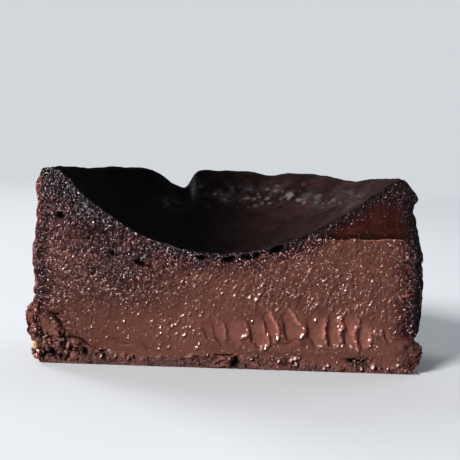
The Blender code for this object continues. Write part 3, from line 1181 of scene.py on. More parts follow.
@dataclass(frozen=True)
class CutRelief:
    """What the knife left on the cut face: scoops, ridges, drag marks, grains, bubbles and cracks.

    Its methods take arrays of places, x along the cut and z up, and give back one number for each place.
    """

    scoops: tuple[Pit, ...] = (
        Pit(-2.2, 11.8, 2.3, 4.4, 10.0, 0.35),
        Pit(2.9, 11.6, 3.2, 4.6, 10.0, 0.6),
        Pit(10.1, 11.3, 3.1, 5.2, 13.0, 1.0),
        Pit(13.9, 13.7, 2.6, 5.6, 14.0, 1.0),
        Pit(20.6, 14.0, 3.7, 6.0, 10.0, 1.3),
        Pit(28.0, 12.6, 3.2, 5.8, 7.0, 1.2),
        Pit(33.3, 12.7, 2.4, 5.7, 0.0, 1.1),
        Pit(38.2, 12.9, 2.2, 6.0, 0.0, 1.05),
        Pit(42.8, 12.2, 2.1, 5.0, 0.0, 0.9),
        Pit(49.9, 12.4, 1.2, 3.0, 24.0, 0.8),
    )
    ridges: tuple[Ridge, ...] = (
        Ridge(((-8.6, 12.0), (-7.0, 9.6), (-5.8, 7.6)), 0.24),
        Ridge(((-5.0, 13.4), (-4.3, 11.4), (-3.6, 9.6)), 0.26),
        Ridge(((-4.6, 17.4), (-3.2, 15.6), (-2.6, 13.8)), 0.24),
        Ridge(((-1.3, 15.0), (-0.6, 12.1), (0.1, 8.9)), 0.3),
        Ridge(((4.7, 15.6), (6.7, 13.0), (6.7, 10.8), (5.5, 9.8)), 0.45),
        Ridge(((11.5, 14.7), (12.7, 11.0), (13.5, 8.2), (12.3, 6.8)), 0.5),
        Ridge(((11.6, 19.6), (13.8, 18.1), (14.9, 15.5), (16.2, 13.0), (16.1, 10.3)), 0.6),
        Ridge(((18.1, 20.1), (19.7, 19.2), (22.1, 15.5), (24.1, 14.0), (24.4, 11.7), (23.4, 10.6)), 0.6),
        Ridge(((31.3, 17.6), (30.5, 14.5), (30.5, 11.0), (31.3, 8.4)), 0.55),
        Ridge(((36.5, 18.7), (35.0, 16.6), (36.3, 14.5), (35.2, 12.3), (36.2, 8.9)), 0.6),
        Ridge(((40.1, 18.3), (41.3, 15.1), (40.3, 14.0), (39.4, 11.9), (40.8, 9.1), (41.1, 6.9)), 0.55),
        Ridge(((44.5, 13.3), (45.1, 11.3), (44.7, 10.2), (44.4, 8.3)), 0.5),
        Ridge(((44.6, 13.2), (46.2, 12.7), (47.7, 12.5), (48.3, 13.5)), 0.4),
        Ridge(((47.7, 13.2), (48.6, 11.8), (50.2, 9.6)), 0.3),
        Ridge(((10.6, 24.8), (9.6, 22.9), (8.3, 20.9)), 0.32),
        Ridge(((22.4, 25.1), (21.7, 23.4), (21.2, 22.4)), 0.28),
        Ridge(((28.3, 24.3), (28.1, 22.0), (27.7, 19.9)), 0.3),
    )
    pits: tuple[Pit, ...] = (
        Pit(-27.6, 32.2, 1.9, 0.75, -18.0, 2.2),
        Pit(-24.4, 31.2, 1.2, 0.35, -30.0, 0.8),
        Pit(-36.1, 35.1, 0.9, 0.6, -20.0, 1.0),
        Pit(-52.3, 46.3, 1.2, 1.3, 0.0, 1.6),
        Pit(-8.4, 34.5, 1.5, 0.9, 0.0, 1.4),
        Pit(0.2, 34.3, 2.4, 1.0, 10.0, 1.5),
        Pit(5.5, 35.0, 1.6, 0.9, 0.0, 1.2),
        Pit(8.6, 35.9, 1.1, 0.9, 10.0, 1.3),
        Pit(14.6, 37.8, 2.6, 1.0, 24.0, 1.8),
    )
    cracks: tuple[Line, ...] = (
        ((-56.9, 17.4), (-53.8, 14.8), (-51.1, 11.4), (-49.2, 9.6)),
        ((-54.1, 15.5), (-51.7, 15.3)),
        ((-48.1, 8.8), (-45.2, 7.4), (-43.0, 5.8), (-43.4, 4.0)),
    )
    creases: tuple[Line, ...] = (
        ((-40.9, 10.8), (-38.6, 10.4), (-36.2, 9.0), (-33.1, 6.9), (-30.3, 6.4), (-28.4, 4.1)),
        ((-26.4, 7.4), (-24.6, 5.6), (-23.2, 4.6)),
        ((-3.2, 9.6), (-1.6, 8.0), (-0.6, 6.0)),
        ((-7.4, 12.6), (-6.2, 10.8), (-5.4, 9.0)),
        (
            (12.0, 6.2), (15.2, 8.0), (19.0, 8.2), (21.8, 9.4), (25.6, 7.6), (30.0, 6.9), (34.4, 6.6),
            (37.6, 4.6),
        ),
    )
    drop_fields: tuple[DropField, ...] = (
        DropField((-12.0, 18.0), (38.0, 30.0), 70, 1.3, 0.48, 0.24, 26.0),
        DropField((-24.0, 9.5), (-9.0, 16.5), 22, 0.95, 0.52, 0.26, 30.0),
        DropField((-50.0, 6.5), (-8.0, 22.0), 40, 0.65, 0.48, 0.2, 20.0),
        DropField((-54.0, 20.0), (-20.0, 40.0), 120, 0.6, 0.48, 0.24, 25.0),
        DropField((-6.0, 30.0), (38.0, 36.0), 30, 0.55, 0.45, 0.18, 10.0),
        DropField((36.0, 12.0), (54.0, 30.0), 50, 1.05, 0.5, 0.28, 12.0),
        DropField((-20.0, 24.0), (2.0, 33.0), 20, 0.6, 0.42, 0.18, 8.0),
    )
    lips: tuple[Line, ...] = (
        ((18.0, 9.6), (19.6, 8.4), (21.6, 8.2), (23.4, 9.4)),
        ((44.3, 13.3), (45.8, 12.7), (47.6, 12.7)),
        ((5.6, 9.2), (7.2, 8.2), (8.8, 8.0)),
    )
    facets: tuple[Facet, ...] = (
        (4.9, 10.0, 0.75, 0.35), (6.3, 10.9, 0.7, 0.45), (12.2, 7.0, 0.7, 0.35),
        (15.8, 10.3, 1.05, 0.55), (23.1, 11.0, 1.0, 0.6), (34.6, 8.2, 0.75, 0.35),
        (30.7, 15.2, 0.55, 0.4), (35.6, 14.6, 0.65, 0.45), (40.9, 7.5, 0.6, 0.35),
        (57.3, 15.4, 0.65, 0.25),
    )
    glints: Line = (
        (-18.3, 14.1), (-16.9, 13.0), (-15.7, 13.6), (-14.9, 14.7), (-10.5, 14.4), (-11.4, 12.9),
        (-12.3, 11.5), (-12.9, 10.5), (-20.6, 12.4), (-20.6, 10.6), (-21.5, 9.4), (-18.2, 9.5),
        (-20.6, 7.0), (-21.0, 5.7), (-17.9, 6.2), (-8.5, 7.4), (-9.3, 6.2), (-8.6, 10.6),
        (-27.6, 16.1), (-32.0, 14.0), (-33.8, 11.5), (-30.6, 8.9), (-23.7, 12.7), (-37.5, 12.0),
        (-38.6, 10.7), (-37.0, 8.9), (-42.1, 11.7), (-44.0, 11.0), (-11.5, 16.9), (-9.6, 18.3),
        (-7.7, 17.6), (-5.7, 16.7), (-2.8, 16.8), (-4.1, 19.6), (30.3, 14.7), (31.0, 16.3),
        (30.4, 12.0), (31.1, 10.0), (27.5, 16.2), (31.8, 19.1), (32.6, 19.9), (36.1, 18.7),
        (35.4, 16.9), (34.5, 14.5), (35.2, 12.4), (36.2, 8.6), (41.3, 15.3), (39.7, 12.1),
        (40.2, 18.4), (44.3, 10.5), (44.4, 8.5), (48.0, 13.6), (8.2, 19.5), (8.8, 22.3),
        (2.4, 18.9), (20.9, 20.3), (21.9, 23.9), (19.6, 23.4), (12.9, 23.4), (-1.9, 23.7),
        (6.9, 22.8), (27.9, 23.3), (7.7, 15.2), (12.1, 19.2), (22.7, 14.9),
    )
    pearls: tuple[Facet, ...] = (
        (23.8, 9.6, 0.6, 0.3), (31.2, 8.5, 0.55, 0.26), (41.0, 7.0, 0.65, 0.3),
        (41.4, 8.3, 0.5, 0.24), (44.6, 11.4, 0.55, 0.26), (44.3, 9.6, 0.5, 0.24),
        (45.2, 8.6, 0.55, 0.26), (34.2, 15.8, 0.5, 0.24), (35.0, 14.9, 0.55, 0.26),
        (36.0, 14.2, 0.5, 0.26), (31.0, 14.6, 0.55, 0.28), (39.9, 14.2, 0.5, 0.26),
        (40.6, 13.2, 0.45, 0.22), (11.4, 19.9, 0.6, 0.28), (-14.0, 27.0, 0.5, 0.24),
        (58.0, 13.6, 0.55, 0.26),
    )
    seam_drops: tuple[float, ...] = (-57.0, -54.6, -50.0, 28.0, 29.8, 32.3, 34.7, 38.7, 44.2, 51.0)
    step_line: Line = (
        (-60.0, 38.7), (-52.0, 38.9), (-34.0, 39.2), (0.0, 40.2), (29.0, 41.3), (60.0, 41.9),
    )
    crack_depth: float = 1.1
    crease_depth: float = 0.5
    drop_seed: int = 41
    glint_seed: int = 7
    glint_radii: tuple[float, float] = (0.46, 0.76)
    glint_level: float = 0.24
    drag_lean: float = 28.0
    noise: Grain = Grain(11)

    def scoop_share(self, x: Points, z: Points) -> Points:
        """How much of a place lies inside a scoop, from 0 to 1."""
        inside = [1.0 - ease(0.65, 1.05, np.hypot(*in_oval(x, z, scoop))) for scoop in self.scoops]
        return np.max(inside, axis=0)

    def scooped(self, x: Points, z: Points) -> Points:
        """Depth of the scoops, each with steep walls on its left and below.

        Its floor rises towards the right, and it opens out above. Where two meet, the deeper counts.
        """
        total = np.zeros_like(x)
        warp = 0.45 * self.noise.on_face(x, z, 2.6)
        for scoop in self.scoops:
            across, up = in_oval(x + warp, z + warp, scoop)
            reach = np.hypot(across, np.minimum(up, 0.0))
            wall = 1.0 - ease(0.72, 1.0, reach)
            floor = 1.0 - 0.9 * ease(-0.5, 0.95, across)
            total = np.minimum(total, -0.85 * scoop.depth * wall * floor * (1.0 - ease(-0.2, 1.1, up)))
        return total

    def ridged(self, x: Points, z: Points) -> Points:
        """Height of the ridges: gentle on the left, steep on the right, with a drop at the lower end."""
        total = np.zeros_like(x)
        wander = 0.4 * self.noise.on_face(x, z, 1.9)
        for ridge in self.ridges:
            line = smooth_path(ridge.line, 20)
            offset, share = nearest_on_path(x + wander, z, line)
            fade = np.sqrt(np.clip(np.sin(np.pi * np.clip(share, 0.03, 0.97)), 0.0, 1.0))
            flank = np.where(offset > 0, bell(offset, 0.5 + ridge.height), bell(offset, 0.4))
            drop = bell(np.hypot(x - line[-2, 0] + 0.3, z - line[-2, 1] - 0.3), 0.75)
            total = np.maximum(total, ridge.height * np.maximum(fade * flank * 1.3, 1.1 * drop))
        return total * (1.0 + 0.55 * self.noise.on_face(x, z, 1.25, shift=5.0))

    def lip_glowd(self, x: Points, z: Points) -> Points:
        """How far the filling is a thin lip that light shines through, along the lips' lines."""
        lines = [nearest_on_path(x, z, smooth_path(lip, 20)) for lip in self.lips]
        shown = [bell(offset, 0.3) * np.sin(np.pi * np.clip(share, 0.05, 0.95)) for offset, share in lines]
        return np.max(shown, axis=0) * (0.7 + 0.5 * self.noise.on_face(x, z, 1.7))

    def dragged(self, x: Points, z: Points) -> Points:
        """Drag marks: thin raised streaks that lean to the right, from stretched noise folded at 0."""
        lean = math.radians(self.drag_lean)
        across = x * math.cos(lean) - z * math.sin(lean)
        along = x * math.sin(lean) + z * math.cos(lean)
        leant = np.stack([across, along, np.zeros_like(x)], -1)
        folded = 1.0 - np.abs(self.noise.smooth(leant, (1.7, 6.5, 1.0)))
        fine = 1.0 - np.abs(self.noise.smooth(leant + 31.0, (0.9, 3.2, 1.0)))
        uneven = 0.55 + 0.45 * self.noise.smooth(on_plane(x, z), 9.0)
        where = patch(x, z, (8.0, 22.0), (38.0, 10.0)) * uneven
        return where * (0.3 * folded**4 + 0.15 * fine**5 - 0.11)

    def dropped(self, x: Points, z: Points) -> Points:
        """Height of the scattered drops, each a leaning dome that is thickest at its lower end."""
        total = np.zeros_like(x)
        chance = np.random.default_rng(self.drop_seed)
        for zone in self.drop_fields:
            places = chance.uniform(zone.low, zone.high, (zone.count, 2))
            sizes = chance.uniform(0.55, 1.35, zone.count)
            leans = chance.normal(zone.lean, 14.0, zone.count)
            for place, size, lean in zip(places, sizes, leans):
                oval = Pit(*place, zone.half_width * size**0.5, zone.half_length * size, -lean, 0.0)
                across, up = in_oval(x, z, oval)
                dome = np.clip(1.0 - (across * (1.0 + 0.45 * up)) ** 2 - up**2, 0.0, None) ** 1.4
                total = np.maximum(total, 1.1 * zone.height * size**0.5 * dome)
        for place in self.seam_drops:
            off = (x - place) ** 2 + self.above_step(place, z) ** 2
            total = np.maximum(total, 0.28 * np.clip(1.0 - off / 0.42, 0.0, 1.0))
        return total

    @property
    def mirrors(self) -> list[Facet]:
        """The facets, and the glints as small facets of uneven size."""
        sizes = np.random.default_rng(self.glint_seed).uniform(*self.glint_radii, len(self.glints))
        glints = ((*place, size, self.glint_level) for place, size in zip(self.glints, sizes))
        return [*self.facets, *glints]

    def above_step(self, x: Points, z: Points) -> Points:
        """How far a place lies above the step line."""
        return z - np.interp(x, *np.array(self.step_line).T)

    def pearled(self, x: Points, z: Points) -> Points:
        """Height of the wet pearls, round domes 1 - (distance / radius)^2 that the ridges end in."""
        domes = [
            height * (1.0 - ((x - across) ** 2 + (z - up) ** 2) / radius**2)
            for across, up, radius, height in self.pearls
        ]
        return np.maximum(0.0, np.max(domes, axis=0))

    def pitted(self, x: Points, z: Points) -> Points:
        """How deep the larger holes go at a place, each an oval bowl with steep sides."""
        ragged = 0.45 * self.noise.smooth(np.stack([x, z, z], -1), 1.1)
        reach = [np.hypot(*in_oval(x, z, pit)) + ragged for pit in self.pits]
        return np.max([p.depth * (1.0 - ease(0.45, 1.1, r)) for p, r in zip(self.pits, reach)], axis=0)

    def cracked(self, x: Points, z: Points) -> Points:
        """How deep the cracks go at a place: thin bells along wandering lines."""
        total = np.zeros_like(x)
        wander = 0.5 * self.noise.on_face(x, z, 2.3)
        depths = [self.crack_depth] * len(self.cracks) + [self.crease_depth] * len(self.creases)
        for crack, depth in zip(self.cracks + self.creases, depths):
            offset, share = nearest_on_path(x + wander, z, smooth_path(crack, 24))
            width = 0.22 + 0.2 * np.sin(np.pi * share)
            ends = np.sqrt(np.sin(np.pi * np.clip(share, 0.02, 0.98)))
            total = np.maximum(total, depth * bell(offset, width) * ends)
        return total

    def film_share(self, x: Points, z: Points) -> Points:
        """How wet the face is at a place: on drops and ridges, and faintly where the knife smeared it."""
        smooth = 0.24 * np.maximum(self.scoop_share(x, z), window(x, 8.0, 52.0, 4.0) * bell(z - 6.5, 2.5))
        raised = ease(0.04, 0.14, self.dropped(x, z)) + ease(0.12, 0.35, self.ridged(x, z))
        raised += ease(0.0, 0.08, self.pearled(x, z)) + faceted(x, z, x, self.mirrors)[1]
        return np.clip(smooth + raised, 0.0, 1.0)

    def grain_share(self, x: Points, z: Points, bake: Points) -> Points:
        """How grainy the face is, from 0 on smeared filling to 1 in the crust, where bake is 1."""
        upper_left = 0.6 * patch(x, z, (-31.0, 30.0), (17.0, 11.0))
        left_edge = 0.42 * ease(-38.0, -52.0, x)
        right_body = 0.3 * ease(0.0, 12.0, x) * ease(16.0, 24.0, z)
        low_left = 0.14 * window(x, -48.0, -2.0, 8.0) * window(z, 6.0, 18.0, 4.0)
        calm_right = 0.72 * ease(20.0, 32.0, x) * ease(40.8, 41.6, z - 0.01 * x)
        calm_left = 0.4 * window(x, -47.0, -27.0, 5.0) * window(z - 0.03 * x, 41.0, 44.0, 0.8)
        calm = (calm_right + calm_left) * (1.0 - ease(0.55, 0.9, bake))
        base = (0.32 + upper_left + left_edge + right_body + 0.9 * bake - low_left) * (1.0 - calm)
        return np.clip(base * (1.0 - 0.85 * self.scoop_share(x, z)), 0.03, 1.0)

    def height(self, x: Points, z: Points, grain: Points, bake: Points) -> Points:
        """How far the face stands out towards the viewer, in millimetres.

        It adds broad waves, scoops, ridges, drag marks and grains, and takes away small bubbles,
        larger holes and cracks. Above the step line the face lies a little further back.

        Args:
            x: places along the cut.
            z: heights.
            grain: how grainy each place is.
            bake: how close each place is to the skin.

        Returns:
            One height for each place.
        """
        place = on_plane(x, z)
        waves = 0.2 * self.noise.smooth(place, 13.0) + 0.1 * self.noise.smooth(place + 50.0, 4.5)
        grains = grain * (0.25 * self.noise.smooth(place, 1.6) + 0.18 * self.noise.smooth(place + 9.0, 1.0))
        near, _, name = self.noise.cells(place, 1.5)
        bubbles = 0.45 * (1.0 - ease(0.12, 0.34, near)) * (name > 0.62) * ease(0.2, 0.6, grain)
        ledge = -0.16 * ease(-0.25, 0.25, self.above_step(x, z)) * (1.0 - window(x, -30.0, 20.0, 4.0))
        smear = 0.35 * bell(z - 6.4, 1.7) * window(x, 9.0, 50.0, 5.0)
        rough = bake * 0.22 * self.noise.layered(place + 80.0, 2.2, 2)
        marks = self.scooped(x, z) + self.ridged(x, z) + self.dragged(x, z)
        drops = self.dropped(x, z) * (1.0 - 0.9 * self.scoop_share(x, z))
        marks, _ = faceted(x, z, marks + drops + self.pearled(x, z), self.mirrors)
        return waves + grains + marks + ledge + smear + rough - bubbles


# -------- The filling and the crumb base --------


def turned(path: Points, columns: int) -> tuple[Points, ...]:
    """Radius, angle and height on a grid of angles by a path's points, and each place's row."""
    flat = np.zeros((columns, len(path)))
    parts = (path[:, 0], spread_angles(columns), path[:, 1], np.arange(len(path)))
    return tuple(part + flat for part in parts)


def set_back(points: Points) -> None:
    """Draws each end row of an outside into one point, and lets the outside start behind the cut."""
    points[:, 0] = points[:, 0].mean(axis=0)
    points[:, -1] = points[:, -1].mean(axis=0)
    points[..., 1] = CUT_INSET + points[..., 1] * (1.0 - CUT_INSET / points[..., 1].max())


@dataclass
class CutPiece(ABC):
    """A closed piece: an outside turned behind the cut, and the face that the knife left."""

    form: CakeForm
    placing: Points
    relief: CutRelief = CutRelief()

    @property
    @abstractmethod
    def edges(self) -> CutEdges:
        """Where the outside borders the cut."""

    @abstractmethod
    def outside(self) -> Surface:
        """The outside, from top to bottom, as a grid of angles by rows.

        Returns:
            Its points, and the values that its finish reads.
        """

    @abstractmethod
    def face(self, outside: Points) -> Surface:
        """The cut face as a grid from left to right and from bottom to top.

        Its outline is the outside's own edge at the cut, so that the two meet.

        Args:
            outside: the outside's points.

        Returns:
            Its points, and the values that its finish reads.
        """

    def joined(self, outside_look: int) -> MeshMaker:
        """Brings together the outside, the cut face and the strips that close the gap between them.

        Args:
            outside_look: the number of the outside's finish.

        Returns:
            The closed mesh, ready to be finished.
        """
        maker = MeshMaker(self.placing)
        outside, values = self.outside()
        numbers, tips = maker.add_shell(outside, values, outside_look)
        face, face_values = self.face(outside)
        cells = maker.add_points(face, **face_values)
        maker.add_grid_faces(cells)
        self.edges.close(maker, numbers, tips, cells)
        return maker


@dataclass
class Filling(CutPiece):
    """The filling and its baked skin."""

    noise: Grain = Grain(5)
    columns: int = 212
    hollow_rows: int = 58
    crest_rows: int = 18
    wall_rows: int = 74
    seat_rows: int = 9
    face_columns: int = 400
    face_rows: int = 160

    @property
    def edges(self) -> CutEdges:
        """Where the outside borders the cut: from just outside the crest to where the seat starts."""
        crest = self.hollow_rows + self.crest_rows - 3
        return CutEdges(crest, crest + self.wall_rows)

    def outside(self) -> Surface:
        """The whole outside as one grid, from the middle of the top over the wall to the middle below."""
        form = self.form
        sections = [form.hollow_path(self.hollow_rows), form.crest_path(self.crest_rows)[1:]]
        sections += [form.wall_path(self.wall_rows)[1:], form.seat_path(self.seat_rows)[1:]]
        path = np.vstack(sections)
        radius, angle, height, row = turned(path, self.columns)
        points = form.settled(radius, angle, height)
        wall_from = self.hollow_rows + self.crest_rows - 8
        seat_from = len(path) - self.seat_rows + 1
        side = ease(wall_from, wall_from + 22.0, row)
        shown = 1.0 - ease(seat_from - 2.0, seat_from + 1.0, row)
        points = points + grid_normals(points) * (self.skin_height(points, side) * shown)[..., None]
        set_back(points)
        # Painted light: how far the top is drawn lighter towards its right, which faces the light.
        painted_lit_side = (1.0 - side) * ease(-15.0, 30.0, points[..., 0])
        edge = ease(2.4, 0.4, points[..., 1] + 0.8 * self.noise.smooth(points, 3.0))
        # Painted rim glow on the skin along the cut's left edge.
        rim_glow_and_red = 0.8 * edge * ease(0.0, -20.0, points[..., 0]) * ease(wall_from - 8.0, wall_from + 2.0, row)
        # Where the painted glint spots lie on the hollow.
        dust = bell(angle - 62.0, 27.0) * bell(radius - 42.5, 5.0)
        dust += 0.5 * bell(angle - 20.0, 15.0) * bell(radius - 43.0, 5.0)
        dust += 0.4 * bell(angle - 118.0, 8.0) * bell(radius - 37.5, 3.0)
        return points, {"side": side, "painted_lit_side": painted_lit_side, "rim_glow_and_red": rim_glow_and_red, "dust": dust * (1.0 - side)}

    def skin_height(self, points: Points, side: Points) -> Points:
        """How far the skin stands in or out: swells, wrinkles and grains, and upright folds on the wall.

        Args:
            points: places on the smooth outside.
            side: how far down the wall each lies, from 0 on the top to 1.

        Returns:
            One height in millimetres for each place.
        """
        edge = 0.45 + 0.55 * ease(14.0, 4.0, points[..., 1])
        swells = 0.35 * self.noise.smooth(points, 11.0)
        swells += 0.42 * edge * self.noise.layered(points + 20.0, 3.4, 2)
        folds = self.noise.smooth(points + 90.0, (4.5, 4.5, 38.0))
        swells += side * (1.1 - edge) * (0.9 * (1.0 - np.abs(folds)) ** 3 - 0.3)
        swells += 0.2 * ease(-45.0, -57.0, points[..., 0]) * edge * self.noise.smooth(points, 2.0)
        wrinkles = 0.16 * (1.0 - np.abs(self.noise.smooth(points + 40.0, (2.6, 2.6, 9.0)))) ** 2
        grains = 0.1 * self.noise.layered(points + 60.0, 1.6, 2)
        return -(swells + grains + side * wrinkles)

    def bake_share(self, x: Points, z: Points, top: Points, left: Points, right: Points) -> Points:
        """How baked the cut face is, from its distances to the top skin and to both walls.

        Next to each there is a core, nearly black, and a wider halo that fades into the filling.

        Args:
            x: places along the cut.
            z: heights.
            top: distance to the top skin.
            left: distance to the left wall.
            right: distance to the right wall.

        Returns:
            A share from 0, inside, to 1, at the skin.
        """
        place = on_plane(x, z)
        ragged = 1.0 + 0.35 * self.noise.layered(place, 5.0, 3)
        leftness, rightness = ease(-20.0, -45.0, x), ease(18.0, 42.0, x)
        corner = ease(44.0, 53.0, x)
        cores = [top / (3.6 + 0.1 * leftness + 0.8 * rightness + 7.4 * corner), left / 1.2, right / 3.7]
        halos = [top / (8.4 + 11.6 * leftness - 1.5 * rightness + 6.6 * corner), left / 8.0, right / 9.5]
        strengths = [0.7 + 0.18 * leftness, 0.66, 0.9]
        depths = [1.0, ease(12.0, 20.0, z), ease(9.0, 14.0, z)]
        core = [0.8 * (1.0 - ease(0.0, 2.0, c / ragged)) * d for c, d in zip(cores, depths)]
        halo = [k * (1.0 - ease(0.0, 1.0, h / ragged)) * d for k, h, d in zip(strengths, halos, depths)]
        scorched = 0.3 * patch(x, z, (-33.0, 30.0), (15.0, 9.0)) * ragged
        share = np.max(core + halo, axis=0)
        band = window(x, -48.0, -26.0, 6.0) * window(z, 38.5, 42.5, 2.0)
        share = share + np.minimum(scorched, 0.62 - 0.5 * share) * (1.0 - band) - 0.12 * band
        return np.clip(share, 0.0, 1.0)

    def face(self, outside: Points) -> Surface:
        """The cut through the filling as a grid from left to right and from bottom to top."""
        grid, flat = self.edges.flat_grid(outside, self.face_columns, self.face_rows)
        x, z = grid[..., 0], grid[..., 2]
        to_top, to_left, to_right = (distance_to(x, z, edge[::3]) for edge in flat[1:])
        bake = self.bake_share(x, z, to_top, to_left, to_right)
        grain = self.relief.grain_share(x, z, bake)
        pits = np.maximum(self.relief.pitted(x, z), self.relief.cracked(x, z))
        stand = self.relief.height(x, z, grain, bake) - pits
        rim = ease(0.0, 0.8, np.minimum(np.minimum(to_top, to_left), to_right))
        grid[..., 1] = -stand * rim
        above = ease(-0.4, 0.3, self.relief.above_step(x, z))
        left_band = 0.22 * window(x, -48.0, -24.0, 6.0) * window(z, 38.0, 43.0, 1.5)
        red = above * (0.1 + left_band + 0.8 * ease(8.0, 34.0, x)) * (1.0 - ease(0.3, 0.75, bake))
        low_left = 0.14 * window(x, -46.0, -10.0, 8.0) * (1.0 - ease(12.0, 22.0, z))
        dark_heart = 0.1 * patch(x, z, (-30.0, 30.0), (14.0, 9.0))
        right_crust = 0.85 * ease(30.0, 44.0, x) * ease(0.75, 1.0, bake)
        right_foot = 0.09 * ease(48.0, 56.0, x) * ease(22.0, 12.0, z)
        tone = 0.62 + 0.24 * ease(-45.0, 5.0, x) + low_left + 0.14 * self.relief.scoop_share(x, z)
        tone -= dark_heart + right_crust + right_foot
        # Painted rim glow: a pink strip along the left edge of the cut.
        strip = 1.1 + 1.0 * ease(44.0, 56.0, z) + 0.7 * self.noise.smooth(grid, 2.2)
        rim_glow_and_red = (1.0 - ease(0.2, 1.2, to_left / np.maximum(strip, 0.3))) * ease(16.0, 22.0, z)
        # Ridge crests, where a highlight is painted and the tone is lightened.
        crest = ease(0.2, 0.66, self.relief.ridged(x, z))
        dry = ease(0.5, 0.9, bake)
        return grid, {
            "bake": bake,
            "grain": grain,
            "red": red,
            # The tone is lighter where the ridge highlight and the rim glow are painted.
            "tone": tone + 0.3 * rim_glow_and_red + 0.35 * crest,
            # How far into a pit or crack, where shade is painted.
            "deep": ease(0.35, 1.2, pits),
            "rim_glow_and_red": rim_glow_and_red,
            "crest": crest,
            "lip_glow": self.relief.lip_glowd(x, z),
            # Painted highlight: which colour the bead tops get and how much of it. The amount also scales
            # the wet gloss.
            "dry_crust_reflection": dry,
            "bead_glint_and_gloss": 0.34 * (1.0 - dry) + dry * (0.03 + 0.85 * ease(20.0, -30.0, x)),
            "film": self.relief.film_share(x, z),
        }

    def build(self, cut: bpy.types.Material, skin: bpy.types.Material) -> bpy.types.Object:
        """The filling as a piece, with one finish for the cut face and one for its skin."""
        piece = self.joined(outside_look=1).finish("cheesecake_half", [cut, skin], sharp=50.0)
        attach(piece, BODY)
        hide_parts("cheesecake")
        return piece


